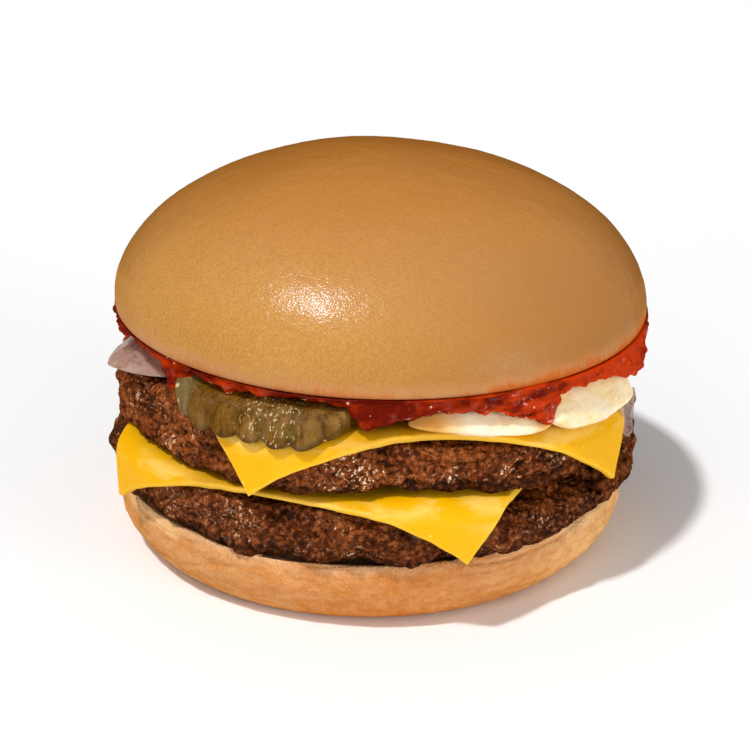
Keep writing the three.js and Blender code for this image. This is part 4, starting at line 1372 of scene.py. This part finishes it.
class BURGER_OT_slices(Operator):
    """Build both cheese slices"""

    bl_idname = "burger.slices"
    bl_label = "Cheese slices"

    def execute(self, context):
        stack, cheese = Stack(context.scene), context.scene.burger_cheese
        layers = {"lower": (LOWER_PATTY, stack.lower_top), "upper": (UPPER_PATTY, stack.upper_top)}
        for name, (patty, top_at) in layers.items():
            piece = sheet_body(f"slice_{name}", *slice_grids(stack, SLICES[name], patty, top_at))
            finish = cheese_finish(f"{name.capitalize()} cheese", getattr(cheese, name))
            dress(piece, finish, f"cheese_{name}")
        return {"FINISHED"}


class BURGER_OT_pickle(Operator):
    """Build the pickle chip"""

    bl_idname = "burger.pickle"
    bl_label = "Pickle"

    def execute(self, context):
        toppings = context.scene.burger_toppings
        grids = pickle_grids(Stack(context.scene), toppings)
        dress(sheet_body("pickle_chip", *grids), pickle_finish(toppings), "pickle")
        return {"FINISHED"}


ONION_SEED = 100
# slot, colour unless it is the settings' one, clearness, colour of soaked ends, and glow, an emission painted
# in as light
ONION_LOOKS = {
    "onion_left": ("onion_wedge", (0.74, 0.46, 0.36), 0.5, None, 0.0),
    "onion_front": ("onion_sliver", (1.0, 0.88, 0.6), 0.1, (0.8, 0.36, 0.04), 0.04),
    "onion_right": ("onion_piece", None, 0.05, None, 0.03),
}
FILM = (0.5, 0.41, 0.38)


class BURGER_OT_onions(Operator):
    """Build the onion pieces"""

    bl_idname = "burger.onions"
    bl_label = "Onions"

    def execute(self, context):
        plans = onion_plans(Stack(context.scene))
        for seed, (name, (plan, foot, head)) in enumerate(plans.items(), ONION_SEED):
            grid, marks = sliver_grid(plan, foot, head, seed)
            slot, tone, clear, soaked, glow = ONION_LOOKS[name]
            tone = tone or context.scene.burger_toppings.onion
            finish = onion_finish(slot.replace("_", " ").capitalize(), tone, clear, soaked, glow)
            dress(round_body(slot, grid, marks), finish.material, name)
        film = onion_finish("Onion scrap", FILM, 0.2)
        film.set(Alpha=ramp(film.mark("edge"), 0.7, 0.1, 0.18, 0.6))
        dress(sheet_body("onion_scrap", *skin_grids()), film.material, "onion_skin")
        return {"FINISHED"}


class BURGER_OT_ketchup(Operator):
    """Build the ketchup layer"""

    bl_idname = "burger.ketchup"
    bl_label = "Ketchup"

    def execute(self, context):
        sauce = context.scene.burger_sauce
        grid, marks = ketchup_grid(Stack(context.scene), sauce)
        dress(round_body("ketchup_layer", grid, marks), ketchup_finish(sauce), "ketchup")
        return {"FINISHED"}


# azimuth, elevation and spread of each light
LIGHTS = {
    "key": (-47, 64, 4),
    "front": (54, 4, 26),
    "fill": (-8, 20, 90),
    "top": (-30, 72, 110),
    "left": (-40, 8, 26),
}
FLOOR_HALF = 4.0
CAMERA = {"place": (0.83, -313.55, 159.98), "elevation": 22.75, "film": 36, "near": 0.01, "far": 20}


def sun(name, energy, azimuth, elevation, spread):
    """A distant soft light, as wide as its spread."""
    data = bpy.data.lights.new(name, "SUN")
    data.energy, data.angle = energy, spread * DEGREE
    lamp = bpy.data.objects.new(name, data)
    lamp.rotation_euler = ((90 - elevation) * DEGREE, 0, azimuth * DEGREE)
    bpy.context.scene.collection.objects.link(lamp)


class BURGER_OT_stage(Operator):
    """Build the floor, the lights and the camera"""

    bl_idname = "burger.stage"
    bl_label = "Stage"

    def execute(self, context):
        scene, stage = context.scene, context.scene.burger_stage
        corners = [(x * FLOOR_HALF, y * FLOOR_HALF, 0) for x, y in ((-1, -1), (1, -1), (1, 1), (-1, 1))]
        mesh = bpy.data.meshes.new("floor")
        mesh.from_pydata(corners, [], [(0, 1, 2, 3)])
        floor = bpy.data.objects.new("floor", mesh)
        scene.collection.objects.link(floor)
        finish = Finish("Floor", Base_Color=(*stage.floor, 1), Roughness=0.9, Specular_IOR_Level=0.1)
        mesh.materials.append(finish.material)
        world = bpy.data.worlds.new("Surroundings")
        world.use_nodes = True
        back = world.node_tree.nodes["Background"]
        wire(back, "Color", (1, 1, 1, 1))
        seen = node(world.node_tree, "ShaderNodeLightPath").outputs["Is Camera Ray"]
        wire(back, "Strength", ramp(seen, 0, 1, stage.sky, 1))
        scene.world = world
        for name, light in LIGHTS.items():
            sun(name, getattr(stage, name), *light)
        data = bpy.data.cameras.new("camera")
        data.lens, data.sensor_width = stage.lens, CAMERA["film"]
        data.clip_start, data.clip_end = CAMERA["near"], CAMERA["far"]
        camera = bpy.data.objects.new("camera", data)
        camera.location = [c * MM for c in CAMERA["place"]]
        camera.rotation_euler = ((90 - CAMERA["elevation"]) * DEGREE, 0, 0)
        scene.collection.objects.link(camera)
        scene.camera = camera
        scene.view_settings.view_transform = "Standard"
        return {"FINISHED"}


class BURGER_PT_panel(Panel):
    """Lists the steps that build the burger"""

    bl_idname = "BURGER_PT_panel"
    bl_label = "Double cheeseburger"
    bl_space_type = "VIEW_3D"
    bl_region_type = "UI"
    bl_category = "Burger"

    def draw(self, context):
        column = self.layout.column()
        for operator in OPERATORS:
            column.operator(operator.bl_idname)


SETTINGS = {
    "burger_stack": BurgerStackSettings,
    "burger_bun": BurgerBunSettings,
    "burger_meat": BurgerMeatSettings,
    "burger_cheese": BurgerCheeseSettings,
    "burger_toppings": BurgerToppingSettings,
    "burger_sauce": BurgerSauceSettings,
    "burger_stage": BurgerStageSettings,
}
OPERATORS = (
    BURGER_OT_heel,
    BURGER_OT_patties,
    BURGER_OT_slices,
    BURGER_OT_pickle,
    BURGER_OT_onions,
    BURGER_OT_ketchup,
    BURGER_OT_crown,
    BURGER_OT_stage,
)


def register():
    """Registers the classes and hangs the settings on the scene."""
    for settings in (*SETTINGS.values(), *OPERATORS, BURGER_PT_panel):
        bpy.utils.register_class(settings)
    for name, settings in SETTINGS.items():
        setattr(bpy.types.Scene, name, PointerProperty(type=settings))


def unregister():
    """Takes the settings and the classes away again."""
    for name in SETTINGS:
        delattr(bpy.types.Scene, name)
    for settings in (BURGER_PT_panel, *reversed(OPERATORS), *reversed(SETTINGS.values())):
        bpy.utils.unregister_class(settings)


def main():
    """Builds every piece and the stage."""
    register()
    for operator in OPERATORS:
        group, name = operator.bl_idname.split(".")
        getattr(getattr(bpy.ops, group), name)()


if __name__ == "__main__":
    main()
